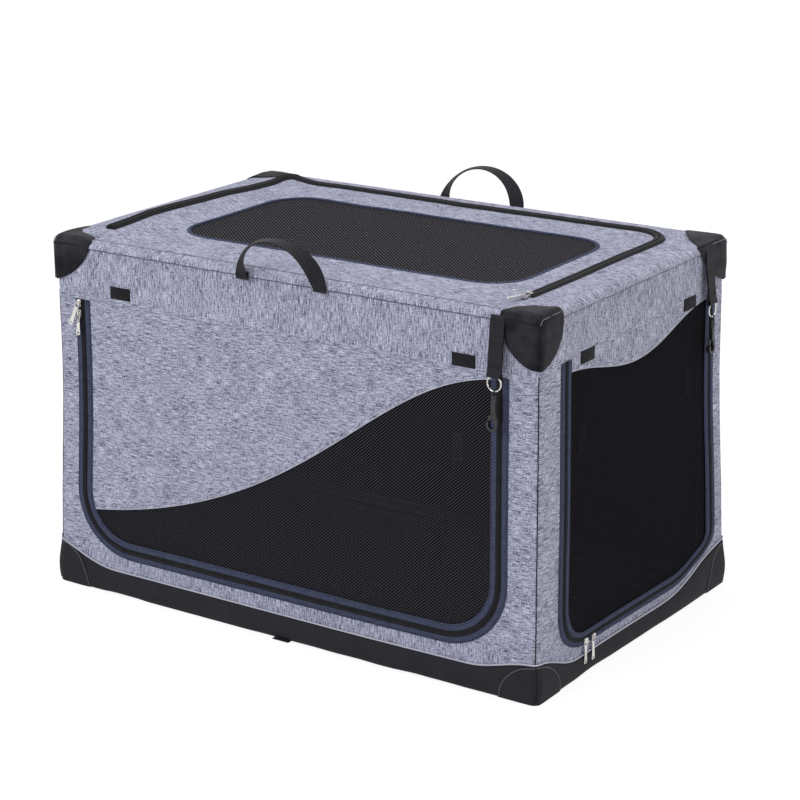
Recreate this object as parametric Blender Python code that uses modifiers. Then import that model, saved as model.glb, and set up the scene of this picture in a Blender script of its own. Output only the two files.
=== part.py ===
"""Folding pet kennel: a soft-sided travel crate on a knee-jointed steel frame.

A base ring and a top ring of steel tube are joined at each end by a pair of U-shaped frames with knees.
Pulling the knees inwards lets the top ring sink straight down, and the fabric walls gather between the rings.
Three U-zipped doors open at the front, the right end and the top. All sizes are in metres.
"""

import math

import bmesh
import bpy
from mathutils import Matrix, Vector

MM = 0.001

# Overall size of the fabric box, measured over the lid
WIDTH = 0.910
DEPTH = 0.580
HEIGHT = 0.590

# Fabric layers, counted inwards from the lid's outer face, so that the lid can sink over the base
CORNER_ROUND = 11 * MM
LID_THICK = 3 * MM
WALL_INSET = 3 * MM
WALL_THICK = 3 * MM
TRAY_INSET = 1.2 * MM
TRAY_THICK = 1.5 * MM
PATCH_PROUD = 0.8 * MM
CAP_PROUD = 1.8 * MM
CAP_THICK = 1.5 * MM
GAP = 0.3 * MM

WALL_X = WIDTH / 2 - WALL_INSET
WALL_Y = DEPTH / 2 - WALL_INSET
WALL_LOW = 20 * MM
SEAM_Z = 577 * MM

# Base tray: its upper edge dips between the corners
TRAY_MID_SIDE = 41 * MM
TRAY_MID_END = 28 * MM
TRAY_CORNER = 63 * MM
TRAY_RISE_LENGTH = 120 * MM
BASE_PATCH_RADII = (66 * MM, 66 * MM, 60 * MM)
TOP_CAP_RADII = (64 * MM, 62 * MM, 102 * MM)

# Steel frame
RING_TUBE = 8 * MM
RING_X = 437 * MM
RING_Y = 275 * MM
RING_BEND = 40 * MM
BASE_RING_Z = 14 * MM
TOP_RING_Z = 575 * MM
LEG_TUBE = 6.5 * MM
BAR_DROP = 18.5 * MM
LOWER_LEG_Y = 259 * MM
UPPER_LEG_Y = 244.5 * MM
LEG_BEND = 22 * MM
BASE_PIVOT_Z = BASE_RING_Z + BAR_DROP
TOP_PIVOT_Z = TOP_RING_Z - BAR_DROP
KNEE_Z = (BASE_PIVOT_Z + TOP_PIVOT_Z) / 2
KNEE_PLATE_REACH = 24 * MM
LEG_END_REACH = 14 * MM
KNEE_PLATE_ROUND = 8 * MM
KNEE_PLATE_THICK = 3 * MM
KNEE_GAP = 0.5 * MM
KNEE_MID_Y = (LOWER_LEG_Y + UPPER_LEG_Y) / 2
RIVET_RADIUS = 2.7 * MM
RIVET_HEAD = 5.2 * MM
RIVET_HOLE = 3.1 * MM
CLIP_LENGTH = 60 * MM
CLIP_WALL = 3 * MM

# Front door: a U-shaped zip between the door and the fabric round it
FRONT_ZIP = {"left": -399 * MM, "right": 387 * MM, "low": 79 * MM, "high": 491.5 * MM,
             "round_left": 96 * MM, "round_right": 96 * MM}
END_ZIP = {"left": -211.5 * MM, "right": 241.5 * MM, "low": 56.5 * MM, "high": 506.5 * MM,
           "round_left": 72 * MM, "round_right": 40 * MM}
HINGE_SLIT = 3 * MM
ZIP_SLIT = 0.5 * MM
ZIP_REACH = 14 * MM
ZIP_THICK = 1.6 * MM
DOOR_EDGE = 3 * MM
DOOR_THICK = 1.4 * MM
MESH_THICK = 1.0 * MM
MESH_OVERLAP = 12 * MM

# Front door's fabric ends in an S-curve: it starts on the rounded corner, then one cubic curve's handles and end
FRONT_WAVE_START = math.radians(203)
FRONT_WAVE = [(50 * MM, 200 * MM), (160 * MM, 465 * MM), (384 * MM, 488 * MM)]
# End door's fabric is a shallow valance, lowest near the middle
END_WAVE_LOW = 456.5 * MM
END_WAVE_RISE_LEFT = 31 * MM
END_WAVE_RISE_RIGHT = 44.5 * MM
END_WAVE_REACH_LEFT = 210 * MM
END_WAVE_REACH_RIGHT = 237 * MM

# Top door and its window
TOP_DOOR = {"left": -370 * MM, "right": 382 * MM, "front": -276.5 * MM, "back": 243 * MM, "round": 33 * MM}
TOP_SLIT = 1.5 * MM
TOP_ZIP_END_LEFT = -268 * MM
TOP_ZIP_END_RIGHT = -203 * MM
WINDOW = {"left": -312 * MM, "right": 314 * MM, "front": -185 * MM, "back": 163 * MM, "round": 64 * MM}

# Hook-and-loop patches over the doors: centres along and up the wall
PATCH_SIZE = (40 * MM, 20 * MM)
PATCH_RISE = 1 * MM
FRONT_PATCH_Z = 508 * MM
END_PATCH_Z = 523 * MM
FRONT_PATCHES = (-319 * MM, 322 * MM)
END_PATCHES = (-155 * MM, 166 * MM)

# Carrying handles: loops of webbing sewn into the top seam
HANDLE_HALF_SPAN = 72.5 * MM
HANDLE_FRONT_X = 2 * MM
HANDLE_BACK_X = -12.5 * MM
HANDLE_RISE_FRONT = 75 * MM
HANDLE_RISE_BACK = 66 * MM
HANDLE_WIDTH = 24 * MM
HANDLE_THICK = 1.6 * MM
HANDLE_LEAN = math.radians(12)
HANDLE_FOOT_Z = 578 * MM
HANDLE_OFF = 3.5 * MM

# Hanging snap hooks: strap, ring, swivel eye, hook and gate
STRAP_X = 386 * MM
STRAP_END_Y = 220 * MM
STRAP_OFF = 3.5 * MM
STRAP_LENGTH = 80.5 * MM
STRAP_WIDTH = 24 * MM
STRAP_THICK = 1.8 * MM
STRAP_TILT = math.radians(-6)
STRAP_EYE = (2.6 * MM, 3.6 * MM, 10 * MM)
RING_MAJOR = 11.5 * MM
RING_WIRE = 1.15 * MM
EYE_MAJOR = 3.4 * MM
EYE_WIRE = 1.1 * MM
NECK_RADIUS = 1.9 * MM
BARREL_TOP = -5.2 * MM
BARREL_LOW = -17 * MM
BARREL_RADIUS = 4.6 * MM
BARREL_BORE = 2.3 * MM
CAVITY_RADIUS = 3.4 * MM
CAVITY = (-7.4 * MM, -12 * MM)
FLANGE_RADIUS = 2.9 * MM
FLANGE = (-8 * MM, -10.5 * MM)
HOOK_THICK = 6.4 * MM
HOOK_CENTRE = (-2.5 * MM, -50.5 * MM)
HOOK_OUTER = 9.5 * MM
HOOK_INNER = 5.8 * MM
HOOK_SHOULDER = math.radians(62)
HOOK_TIP = math.radians(148)
GATE_PIVOT = (-0.6 * MM, -33 * MM)
GATE_THICK = 2.6 * MM
GATE_EYE = 2.6 * MM
GATE_WIDTH = 3.2 * MM
GATE_PIN = 1.1 * MM
GATE_PIN_LENGTH = 6 * MM
GATE_SLOT = (-3.1 * MM, -3.5 * MM, 11.6 * MM, 14 * MM)
THUMB_RISE = 2 * MM

# Zip sliders and their pull tabs
SLIDER_LENGTH = 13 * MM
SLIDER_WIDTH = 8.6 * MM
SLIDER_THICK = 2.8 * MM
BRIDGE_WIRE = 0.75 * MM
BRIDGE_HALF = 4 * MM
BRIDGE_RISE = 3.4 * MM
TAB_THICK = 1.3 * MM
TAB_LENGTH = 38 * MM
TAB_LIFT = 1.05 * MM
TAB_HANG = 1.5 * MM
TAB_WINDOW = (7.4 * MM, 2.8 * MM)
TAB_BAR = 1.2 * MM
TAB_HEAD = 4.1 * MM
TAB_WAIST = 2.9 * MM
TAB_END = 4.3 * MM
TAB_HOLE = 1.9 * MM
FRONT_SLIDERS_Z = (484.5 * MM, 468.5 * MM)
END_CORNER_TURN = math.radians(8)
END_RUN_Y = -127 * MM
TOP_SLIDERS_Y = (-198 * MM, -214 * MM)
SLIDER_ASIDE = 4.8 * MM

# Floor mat, loose on the tray
MAT_X = 420 * MM
MAT_Y = 250 * MM
MAT_THICK = 18 * MM
MAT_EDGE_LOW = 4 * MM
MAT_EDGE_HIGH = 10 * MM
MAT_DRAWN = 7 * MM

ARC_STEPS = 8


def clear_scene():
    for obj in list(bpy.data.objects):
        bpy.data.objects.remove(obj, do_unlink=True)
    kennel = bpy.data.collections.new("folding_pet_kennel")
    helpers = bpy.data.collections.new("cutters")
    for collection in (kennel, helpers):
        bpy.context.scene.collection.children.link(collection)
    return kennel, helpers


KENNEL, CUTTERS = clear_scene()


def make_material(name, colour, roughness, metallic=0.0):
    material = bpy.data.materials.new(name)
    material.use_nodes = True
    shader = material.node_tree.nodes["Principled BSDF"]
    shader.inputs["Base Color"].default_value = (*colour, 1.0)
    shader.inputs["Roughness"].default_value = roughness
    shader.inputs["Metallic"].default_value = metallic
    material.diffuse_color = (*colour, 1.0)
    return material


GREY_FABRIC = make_material("grey_fabric", (0.36, 0.37, 0.47), 0.9)
BLACK_FABRIC = make_material("black_fabric", (0.03, 0.03, 0.038), 0.7)
BLACK_MESH = make_material("black_mesh", (0.018, 0.018, 0.022), 0.8)
BLUE_BINDING = make_material("blue_binding", (0.06, 0.075, 0.125), 0.75)
BLACK_WEBBING = make_material("black_webbing", (0.02, 0.02, 0.026), 0.65)
STEEL_TUBE = make_material("steel_tube", (0.12, 0.12, 0.13), 0.35, 0.9)
BRIGHT_METAL = make_material("bright_metal", (0.75, 0.74, 0.72), 0.2, 1.0)
BLACK_PLASTIC = make_material("black_plastic", (0.02, 0.02, 0.022), 0.45)
MAT_FLEECE = make_material("mat_fleece", (0.2, 0.2, 0.22), 0.95)

# Placing matrices: a flat outline's X, Y and Z become these directions
FRONT_PLANE = Matrix(((1, 0, 0, 0), (0, 0, -1, 0), (0, 1, 0, 0), (0, 0, 0, 1)))
END_PLANE = Matrix(((0, 0, 1, 0), (1, 0, 0, 0), (0, 1, 0, 0), (0, 0, 0, 1)))
TOP_PLANE = Matrix.Identity(4)


def place(obj, matrix, depth=0.0):
    """Puts an object on a plane: depth is measured along the plane's outward direction."""
    obj.matrix_world = matrix @ Matrix.Translation((0, 0, depth))
    return obj


def as_cutter(obj):
    obj.hide_render = True
    obj.display_type = "WIRE"
    return obj


def add_object(name, data, material=None, helper=False):
    obj = bpy.data.objects.new(name, data)
    (CUTTERS if helper else KENNEL).objects.link(obj)
    if material:
        data.materials.append(material)
    return as_cutter(obj) if helper else obj


def mesh_object(name, bm, material=None, helper=False, smooth=True):
    bmesh.ops.recalc_face_normals(bm, faces=bm.faces)
    mesh = bpy.data.meshes.new(name)
    bm.to_mesh(mesh)
    bm.free()
    if smooth:
        mesh.shade_smooth()
        mesh.set_sharp_from_angle(angle=math.radians(35))
    return add_object(name, mesh, material, helper)


def flat_outline(name, loops, thickness, material=None, helper=False):
    """A flat sheet with holes: a 2D curve, filled and extruded by half its thickness each way."""
    curve = bpy.data.curves.new(name, "CURVE")
    curve.dimensions = "2D"
    curve.fill_mode = "BOTH"
    curve.extrude = thickness / 2
    for loop in loops:
        spline = curve.splines.new("POLY")
        spline.points.add(len(loop) - 1)
        for point, (x, y) in zip(spline.points, loop):
            point.co = (x, y, 0, 1)
        spline.use_cyclic_u = True
    return add_object(name, curve, material, helper)


def tube(name, points, radius, cyclic=False, sides=2, material=None, helper=False):
    """A tube along a chain of points, with its ends filled."""
    curve = bpy.data.curves.new(name, "CURVE")
    curve.dimensions = "3D"
    curve.bevel_depth = radius
    curve.bevel_resolution = sides
    curve.use_fill_caps = True
    spline = curve.splines.new("POLY")
    spline.points.add(len(points) - 1)
    for point, co in zip(spline.points, points):
        point.co = (*co, 1)
    spline.use_cyclic_u = cyclic
    return add_object(name, curve, material, helper)


def to_mesh(obj):
    """Turns a curve into a mesh with welded caps, keeping its name, place and collection."""
    bpy.context.view_layer.update()
    graph = bpy.context.evaluated_depsgraph_get()
    mesh = bpy.data.meshes.new_from_object(obj.evaluated_get(graph))
    bm = bmesh.new()
    bm.from_mesh(mesh)
    bmesh.ops.remove_doubles(bm, verts=bm.verts, dist=1e-6)
    bmesh.ops.recalc_face_normals(bm, faces=bm.faces)
    bm.to_mesh(mesh)
    bm.free()
    name, matrix, helper = obj.name, obj.matrix_world.copy(), obj.hide_render
    bpy.data.objects.remove(obj, do_unlink=True)
    made = bpy.data.objects.new(name, mesh)
    (CUTTERS if helper else KENNEL).objects.link(made)
    made.matrix_world = matrix
    return as_cutter(made) if helper else made


def boolean(obj, other, operation):
    modifier = obj.modifiers.new(operation.lower(), "BOOLEAN")
    modifier.operation = operation
    modifier.object = other
    modifier.solver = "EXACT"
    return obj


def solidify(obj, thickness, offset=-1.0):
    modifier = obj.modifiers.new("thickness", "SOLIDIFY")
    modifier.thickness = thickness
    modifier.offset = offset
    modifier.use_even_offset = True
    return obj


def arc(centre, radius, start, end, steps=ARC_STEPS):
    """Points along a round arc, both ends included; angles in radians."""
    turn = (end - start) / steps
    return [(centre[0] + radius * math.cos(start + turn * i), centre[1] + radius * math.sin(start + turn * i))
            for i in range(steps + 1)]


def circle(centre, radius, steps):
    return arc(centre, radius, 0, 2 * math.pi, steps)[:-1]


def round_rect(left, right, low, high, radius, steps=ARC_STEPS):
    quarter = math.pi / 2
    corners = [(left + radius, low + radius, 2), (right - radius, low + radius, 3),
               (right - radius, high - radius, 0), (left + radius, high - radius, 1)]
    loop = []
    for x, y, number in corners:
        loop += arc((x, y), radius, quarter * number, quarter * (number + 1), steps)
    return loop


def u_path(zip_line, offset, high=None):
    """The U of a zip from its upper left end round to its upper right, moved outwards by offset."""
    left, right, low = zip_line["left"], zip_line["right"], zip_line["low"]
    r_left, r_right = zip_line["round_left"], zip_line["round_right"]
    top = zip_line["high"] if high is None else high
    return ([(left - offset, top)]
            + arc((left + r_left, low + r_left), r_left + offset, math.pi, 1.5 * math.pi)
            + arc((right - r_right, low + r_right), r_right + offset, 1.5 * math.pi, 2 * math.pi)
            + [(right + offset, top)])


def strip_loop(outer, inner):
    return outer + inner[::-1]


def cubic(points, steps):
    """Points on a cubic curve given by its ends and handles."""
    a, b, c, d = (Vector(p) for p in points)
    made = []
    for i in range(steps + 1):
        t = i / steps
        p = a * (1 - t) ** 3 + b * 3 * t * (1 - t) ** 2 + c * 3 * t * t * (1 - t) + d * t ** 3
        made.append((p.x, p.y))
    return made


def end_wave(y):
    """Height of the end door's valance edge at y, a cosine rise on each side of the middle."""
    if y < 0:
        share, rise = min(1.0, -y / END_WAVE_REACH_LEFT), END_WAVE_RISE_LEFT
    else:
        share, rise = min(1.0, y / END_WAVE_REACH_RIGHT), END_WAVE_RISE_RIGHT
    return END_WAVE_LOW + rise * (1 - math.cos(math.pi * share)) / 2


def rounded_box(half_x, half_y, low, high, radius, round_top, segments=3):
    """An open-bottomed box with rounded upright edges and, if asked, a rounded top."""
    bm = bmesh.new()
    bmesh.ops.create_cube(bm, size=1.0)
    bmesh.ops.scale(bm, vec=(2 * half_x, 2 * half_y, high - low), verts=bm.verts)
    bmesh.ops.translate(bm, vec=(0, 0, (high + low) / 2), verts=bm.verts)
    ends = [f for f in bm.faces if f.normal.z < -0.5 or (f.normal.z > 0.5 and not round_top)]
    bmesh.ops.delete(bm, geom=ends, context="FACES_ONLY")
    edges = [e for e in bm.edges if len(e.link_faces) == 2]
    bmesh.ops.bevel(bm, geom=edges, offset=radius, offset_type="OFFSET", segments=segments, profile=0.5,
                    affect="EDGES")
    return bm


def ellipsoid(name, centre, radii, segments=32, rings=16):
    bm = bmesh.new()
    bmesh.ops.create_uvsphere(bm, u_segments=segments, v_segments=rings, radius=1.0)
    bmesh.ops.scale(bm, vec=radii, verts=bm.verts)
    bmesh.ops.translate(bm, vec=centre, verts=bm.verts)
    return mesh_object(name, bm, helper=True, smooth=False)


def box(name, centre, size, material=None, helper=True):
    bm = bmesh.new()
    bmesh.ops.create_cube(bm, size=1.0)
    bmesh.ops.scale(bm, vec=size, verts=bm.verts)
    bmesh.ops.translate(bm, vec=centre, verts=bm.verts)
    return mesh_object(name, bm, material, helper, smooth=False)


def cylinder(name, centre, radius, length, direction, segments=16, material=None, helper=True):
    bm = bmesh.new()
    bmesh.ops.create_cone(bm, cap_ends=True, segments=segments, radius1=radius, radius2=radius, depth=length)
    turn = Vector((0, 0, 1)).rotation_difference(Vector(direction)).to_matrix()
    bmesh.ops.rotate(bm, cent=(0, 0, 0), matrix=turn, verts=bm.verts)
    bmesh.ops.translate(bm, vec=centre, verts=bm.verts)
    return mesh_object(name, bm, material, helper)


# Fabric body

def build_tray():
    """The floor and the dark skirt as one sewn tray, with a raised round patch over each corner."""
    half_x, half_y = WIDTH / 2 - TRAY_INSET, DEPTH / 2 - TRAY_INSET
    radius = CORNER_ROUND - TRAY_INSET
    loop = round_rect(-half_x, half_x, -half_y, half_y, radius, 3)
    outline = []
    for start, end in zip(loop, loop[1:] + loop[:1]):
        start, end = Vector(start), Vector(end)
        pieces = max(1, round((end - start).length / (38 * MM)))
        outline += [start.lerp(end, i / pieces) for i in range(pieces)]

    def rim(point):
        reach_x, reach_y = half_x - abs(point.x), half_y - abs(point.y)
        middle = TRAY_MID_END if reach_x < reach_y else TRAY_MID_SIDE
        share = max(0.0, 1 - max(reach_x, reach_y) / TRAY_RISE_LENGTH)
        return middle + (TRAY_CORNER - middle) * (1 - math.cos(math.pi * share)) / 2

    bm = bmesh.new()
    floor = bm.faces.new([bm.verts.new((p.x, p.y, 0)) for p in outline])
    walls = bmesh.ops.extrude_edge_only(bm, edges=list(floor.edges))
    for vert in (v for v in walls["geom"] if isinstance(v, bmesh.types.BMVert)):
        vert.co.z = rim(vert.co)
    bmesh.ops.recalc_face_normals(bm, faces=bm.faces)
    if floor.normal.z > 0:
        bmesh.ops.reverse_faces(bm, faces=bm.faces)
    mesh = bpy.data.meshes.new("base_tray")
    bm.to_mesh(mesh)
    bm.free()
    mesh.shade_smooth()
    mesh.set_sharp_from_angle(angle=math.radians(35))
    tray = solidify(add_object("base_tray", mesh, BLACK_FABRIC), TRAY_THICK)
    band = rounded_box(half_x + PATCH_PROUD, half_y + PATCH_PROUD, 1 * MM, 90 * MM, radius + PATCH_PROUD, False)
    patches = mesh_object("base_patches", band, BLACK_FABRIC, helper=True)
    solidify(patches, PATCH_PROUD + TRAY_THICK / 2)
    rounds = bmesh.new()
    for sx in (-1, 1):
        for sy in (-1, 1):
            made = bmesh.ops.create_uvsphere(rounds, u_segments=32, v_segments=16, radius=1.0)
            bmesh.ops.scale(rounds, vec=BASE_PATCH_RADII, verts=made["verts"])
            bmesh.ops.translate(rounds, vec=(sx * half_x, sy * half_y, 0), verts=made["verts"])
    boolean(patches, mesh_object("base_patch_rounds", rounds, helper=True, smooth=False), "INTERSECT")
    return boolean(tray, patches, "UNION")


def wall_sector(side):
    """The part of the rounded wall that belongs to one side, cut at 45 degrees through the corners."""
    big, small, inner = 30 * MM, 0.15 * MM, 60 * MM
    if side in ("front", "back"):
        half, away = WALL_X, WALL_Y
    else:
        half, away = WALL_Y, WALL_X
    loop = [(-half - big + small, away + big), (-half + inner + small, away - inner),
            (half - inner - small, away - inner), (half + big - small, away + big)]
    angle = {"back": 0, "left": math.pi / 2, "front": math.pi, "right": -math.pi / 2}[side]
    turned = [(x * math.cos(angle) - y * math.sin(angle), x * math.sin(angle) + y * math.cos(angle))
              for x, y in loop]
    sector = to_mesh(flat_outline(f"{side}_sector", [turned], HEIGHT + 0.2, helper=True))
    sector.matrix_world = Matrix.Translation((0, 0, HEIGHT / 2))
    return sector


def build_wall(name, side):
    bm = rounded_box(WALL_X, WALL_Y, WALL_LOW, SEAM_Z - GAP, CORNER_ROUND - WALL_INSET, False)
    wall = mesh_object(name, bm, GREY_FABRIC)
    solidify(wall, WALL_THICK)
    return boolean(wall, wall_sector(side), "INTERSECT")


def cut_doorway(wall, zip_line, plane, depth):
    outline = strip_loop(u_path(zip_line, DOOR_EDGE, zip_line["high"] + HINGE_SLIT), [])
    cutter = to_mesh(flat_outline(f"{wall.name}_doorway", [outline], 60 * MM, helper=True))
    place(cutter, plane, depth)
    return boolean(wall, cutter, "DIFFERENCE")


def add_patches(wall, places, height, plane, depth):
    """Hook-and-loop patches that hold a rolled-up door, sewn on and standing a little proud."""
    for number, along in enumerate(places):
        patch = box(f"{wall.name}_patch_{number}", (along, height, 0), (*PATCH_SIZE, 2 * PATCH_RISE))
        boolean(wall, place(patch, plane, depth), "UNION")


def build_zip(name, zip_line, plane, depth, inner, outer, material):
    """One half of a U-zip: a strip between two offsets from the zip's line."""
    loop = strip_loop(u_path(zip_line, outer), u_path(zip_line, inner))
    strip = flat_outline(name, [loop], ZIP_THICK, material)
    return place(strip, plane, depth + GAP + ZIP_THICK / 2)


def build_front_door():
    radius = FRONT_ZIP["round_left"] - DOOR_EDGE
    left, right = FRONT_ZIP["left"] + DOOR_EDGE, FRONT_ZIP["right"] - DOOR_EDGE
    centre = (left + radius, FRONT_ZIP["low"] + FRONT_ZIP["round_left"])
    top = FRONT_ZIP["high"] - GAP
    corner = arc(centre, radius, math.pi, FRONT_WAVE_START, 3)
    wave = cubic([corner[-1]] + FRONT_WAVE, 20)
    loop = [(left, top)] + corner[:-1] + wave + [(right, top)]
    panel = flat_outline("front_door_panel", [loop], DOOR_THICK, GREY_FABRIC)
    place(panel, FRONT_PLANE, WALL_Y - DOOR_THICK / 2)
    edge = [point for point in u_path(FRONT_ZIP, -DOOR_EDGE)[1:-1] if point[0] > 0 or point[1] < wave[0][1]]
    back = [(x, min(z + MESH_OVERLAP, top)) for x, z in wave[::-1]]
    mesh = flat_outline("front_door_mesh", [edge + back], MESH_THICK, BLACK_MESH)
    place(mesh, FRONT_PLANE, WALL_Y - DOOR_THICK - GAP - MESH_THICK / 2)
    build_zip("front_zip_inner", FRONT_ZIP, FRONT_PLANE, WALL_Y, -ZIP_REACH, -ZIP_SLIT, BLUE_BINDING)


def build_end_door():
    left, right = END_ZIP["left"] + DOOR_EDGE, END_ZIP["right"] - DOOR_EDGE
    steps = 16
    wave = [(left + (right - left) * i / steps, end_wave(left + (right - left) * i / steps))
            for i in range(steps + 1)]
    top = END_ZIP["high"] - GAP
    panel = flat_outline("end_door_panel", [[(left, top)] + wave + [(right, top)]], DOOR_THICK, GREY_FABRIC)
    place(panel, END_PLANE, WALL_X - DOOR_THICK / 2)
    edge = u_path(END_ZIP, -DOOR_EDGE)[1:-1]
    back = [(y, min(z + MESH_OVERLAP, top)) for y, z in wave[::-1]]
    mesh = flat_outline("end_door_mesh", [edge + back], MESH_THICK, BLACK_MESH)
    place(mesh, END_PLANE, WALL_X - DOOR_THICK - GAP - MESH_THICK / 2)
    build_zip("end_zip_inner", END_ZIP, END_PLANE, WALL_X, -ZIP_REACH, -ZIP_SLIT, BLUE_BINDING)


def build_walls():
    front = build_wall("front_wall", "front")
    cut_doorway(front, FRONT_ZIP, FRONT_PLANE, WALL_Y)
    add_patches(front, FRONT_PATCHES, FRONT_PATCH_Z, FRONT_PLANE, WALL_Y)
    right = build_wall("end_wall", "right")
    cut_doorway(right, END_ZIP, END_PLANE, WALL_X)
    add_patches(right, END_PATCHES, END_PATCH_Z, END_PLANE, WALL_X)
    build_wall("back_wall", "back")
    build_wall("left_wall", "left")
    build_zip("front_zip_outer", FRONT_ZIP, FRONT_PLANE, WALL_Y, ZIP_SLIT, ZIP_REACH, BLUE_BINDING)
    build_zip("end_zip_outer", END_ZIP, END_PLANE, WALL_X, ZIP_SLIT, ZIP_REACH, BLUE_BINDING)


def top_door_loop(offset, front_offset=0.0):
    d = TOP_DOOR
    radius = d["round"] + offset
    left, right = d["left"] - offset, d["right"] + offset
    front, back = d["front"] - front_offset, d["back"] + offset
    return ([(left, front), (right, front)] + arc((right - radius, back - radius), radius, 0, math.pi / 2)
            + arc((left + radius, back - radius), radius, math.pi / 2, math.pi))


def build_lid():
    bm = rounded_box(WIDTH / 2, DEPTH / 2, SEAM_Z, HEIGHT, CORNER_ROUND, True, 4)
    lid = solidify(mesh_object("lid", bm, GREY_FABRIC), LID_THICK)
    cutter = to_mesh(flat_outline("lid_doorway", [top_door_loop(TOP_SLIT, TOP_SLIT)], 40 * MM, helper=True))
    place(cutter, TOP_PLANE, HEIGHT)
    return boolean(lid, cutter, "DIFFERENCE")


def build_top_door():
    w = WINDOW
    window = round_rect(w["left"], w["right"], w["front"], w["back"], w["round"])
    panel = flat_outline("top_door_panel", [top_door_loop(0), window], DOOR_THICK, GREY_FABRIC)
    place(panel, TOP_PLANE, HEIGHT - DOOR_THICK / 2)
    grow = MESH_OVERLAP
    sheet = round_rect(w["left"] - grow, w["right"] + grow, w["front"] - grow, w["back"] + grow,
                       w["round"] + grow)
    mesh = flat_outline("top_door_mesh", [sheet], MESH_THICK, BLACK_MESH)
    place(mesh, TOP_PLANE, HEIGHT - DOOR_THICK - GAP - MESH_THICK / 2)
    half = 7 * MM
    d = TOP_DOOR
    middle = TOP_SLIT / 2

    def line(offset):
        radius = d["round"] + offset
        return ([(d["right"] + offset, TOP_ZIP_END_RIGHT)]
                + arc((d["right"] + offset - radius, d["back"] + offset - radius), radius, 0, math.pi / 2)
                + arc((d["left"] - offset + radius, d["back"] + offset - radius), radius, math.pi / 2, math.pi)
                + [(d["left"] - offset, TOP_ZIP_END_LEFT)])

    strip = flat_outline("top_zip", [strip_loop(line(middle + half), line(middle - half))], ZIP_THICK / 2,
                         BLACK_FABRIC)
    place(strip, TOP_PLANE, HEIGHT + GAP + ZIP_THICK / 4)


def build_top_caps():
    """A three-sided cap on each upper corner: the lid's rounded corner, one layer out, cut by an ellipsoid."""
    half_x, half_y, high = WIDTH / 2 + CAP_PROUD, DEPTH / 2 + CAP_PROUD, HEIGHT + CAP_PROUD
    for end, sx in (("left", -1), ("right", 1)):
        for face, sy in (("front", -1), ("back", 1)):
            name = f"top_cap_{face}_{end}"
            bm = rounded_box(half_x, half_y, high - 150 * MM, high, CORNER_ROUND + CAP_PROUD, True, 4)
            cap = solidify(mesh_object(name, bm, BLACK_FABRIC), CAP_THICK)
            boolean(cap, ellipsoid(f"{name}_round", (sx * half_x, sy * half_y, high), TOP_CAP_RADII), "INTERSECT")


# Steel frame

def ring_points(half_x, half_y, bend, z):
    return [(x, y, z) for x, y in round_rect(-half_x, half_x, -half_y, half_y, bend, 5)]


def build_rings():
    for name, z in (("base_ring", BASE_RING_Z), ("top_ring", TOP_RING_Z)):
        tube(name, ring_points(RING_X, RING_Y, RING_BEND, z), RING_TUBE, cyclic=True, sides=6, material=STEEL_TUBE)


def knee_plate(name, leg_y, up, hole):
    """A leg's flattened end: a flat tongue with a round nose about the knee's pin."""
    reach, nose = KNEE_PLATE_REACH, KNEE_PLATE_ROUND
    loop = ([(-nose, -reach * up), (nose, -reach * up)] if up > 0 else [(nose, reach), (-nose, reach)])
    loop += arc((0, 0), nose, 0, math.pi) if up > 0 else arc((0, 0), nose, math.pi, 2 * math.pi)
    plate = flat_outline(name, [loop, circle((0, 0), hole, 14)], KNEE_PLATE_THICK, helper=True)
    side = 1 if leg_y > 0 else -1
    shift = (KNEE_GAP + KNEE_PLATE_THICK) / 2 * (1 if abs(leg_y) > KNEE_MID_Y else -1)
    return side * (KNEE_MID_Y + shift), plate


def build_leg_frame(name, x, leg_y, bar_z, up):
    """A U of tube: its bar turns in the clip on the ring, and its two legs end in flat tongues at the knees."""
    end_z = KNEE_Z - up * LEG_END_REACH
    bend = LEG_BEND
    half = [(x, leg_y, end_z), (x, leg_y, bar_z + up * bend)]
    turn = [(x, leg_y - bend + bend * math.cos(a), bar_z + up * (bend - bend * math.sin(a)))
            for a in (math.pi / 2 * i / 5 for i in range(1, 6))]
    one = half + turn
    other = [(px, -py, pz) for px, py, pz in one[::-1]]
    frame = to_mesh(tube(name, one + other, LEG_TUBE, sides=5))
    frame.data.materials.append(STEEL_TUBE)
    for side in (-1, 1):
        y, plate = knee_plate(f"{name}_tongue_{'front' if side < 0 else 'back'}", side * leg_y, up, RIVET_HOLE)
        plate.matrix_world = Matrix.Translation((x, y, KNEE_Z)) @ FRONT_PLANE
        boolean(frame, to_mesh(plate), "UNION")
    frame.data.shade_smooth()
    frame.data.set_sharp_from_angle(angle=math.radians(35))
    return frame


def build_rivet(name, x, side):
    """A turned rivet: two flat round heads on a shank that both tongues turn on."""
    reach = KNEE_GAP / 2 + KNEE_PLATE_THICK + GAP
    head = 1.6 * MM
    profile = [(0, reach + head), (RIVET_HEAD - 1.2 * MM, reach + head), (RIVET_HEAD, reach + 0.5 * MM),
               (RIVET_HEAD, reach), (RIVET_RADIUS, reach), (RIVET_RADIUS, -reach), (RIVET_HEAD, -reach),
               (RIVET_HEAD, -reach - 0.5 * MM), (RIVET_HEAD - 1.2 * MM, -reach - head), (0, -reach - head)]
    mesh = bpy.data.meshes.new(name)
    bm = bmesh.new()
    verts = [bm.verts.new((r, 0, z)) for r, z in profile]
    for a, b in zip(verts, verts[1:]):
        bm.edges.new((a, b))
    bm.to_mesh(mesh)
    bm.free()
    rivet = add_object(name, mesh, BRIGHT_METAL)
    screw = rivet.modifiers.new("turned", "SCREW")
    screw.steps = screw.render_steps = 14
    screw.use_merge_vertices = True
    screw.merge_threshold = 0.00001
    screw.use_smooth_shade = True
    rivet.matrix_world = Matrix.Translation((x, side * KNEE_MID_Y, KNEE_Z)) @ Matrix.Rotation(math.pi / 2, 4, "X")
    return rivet


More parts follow.
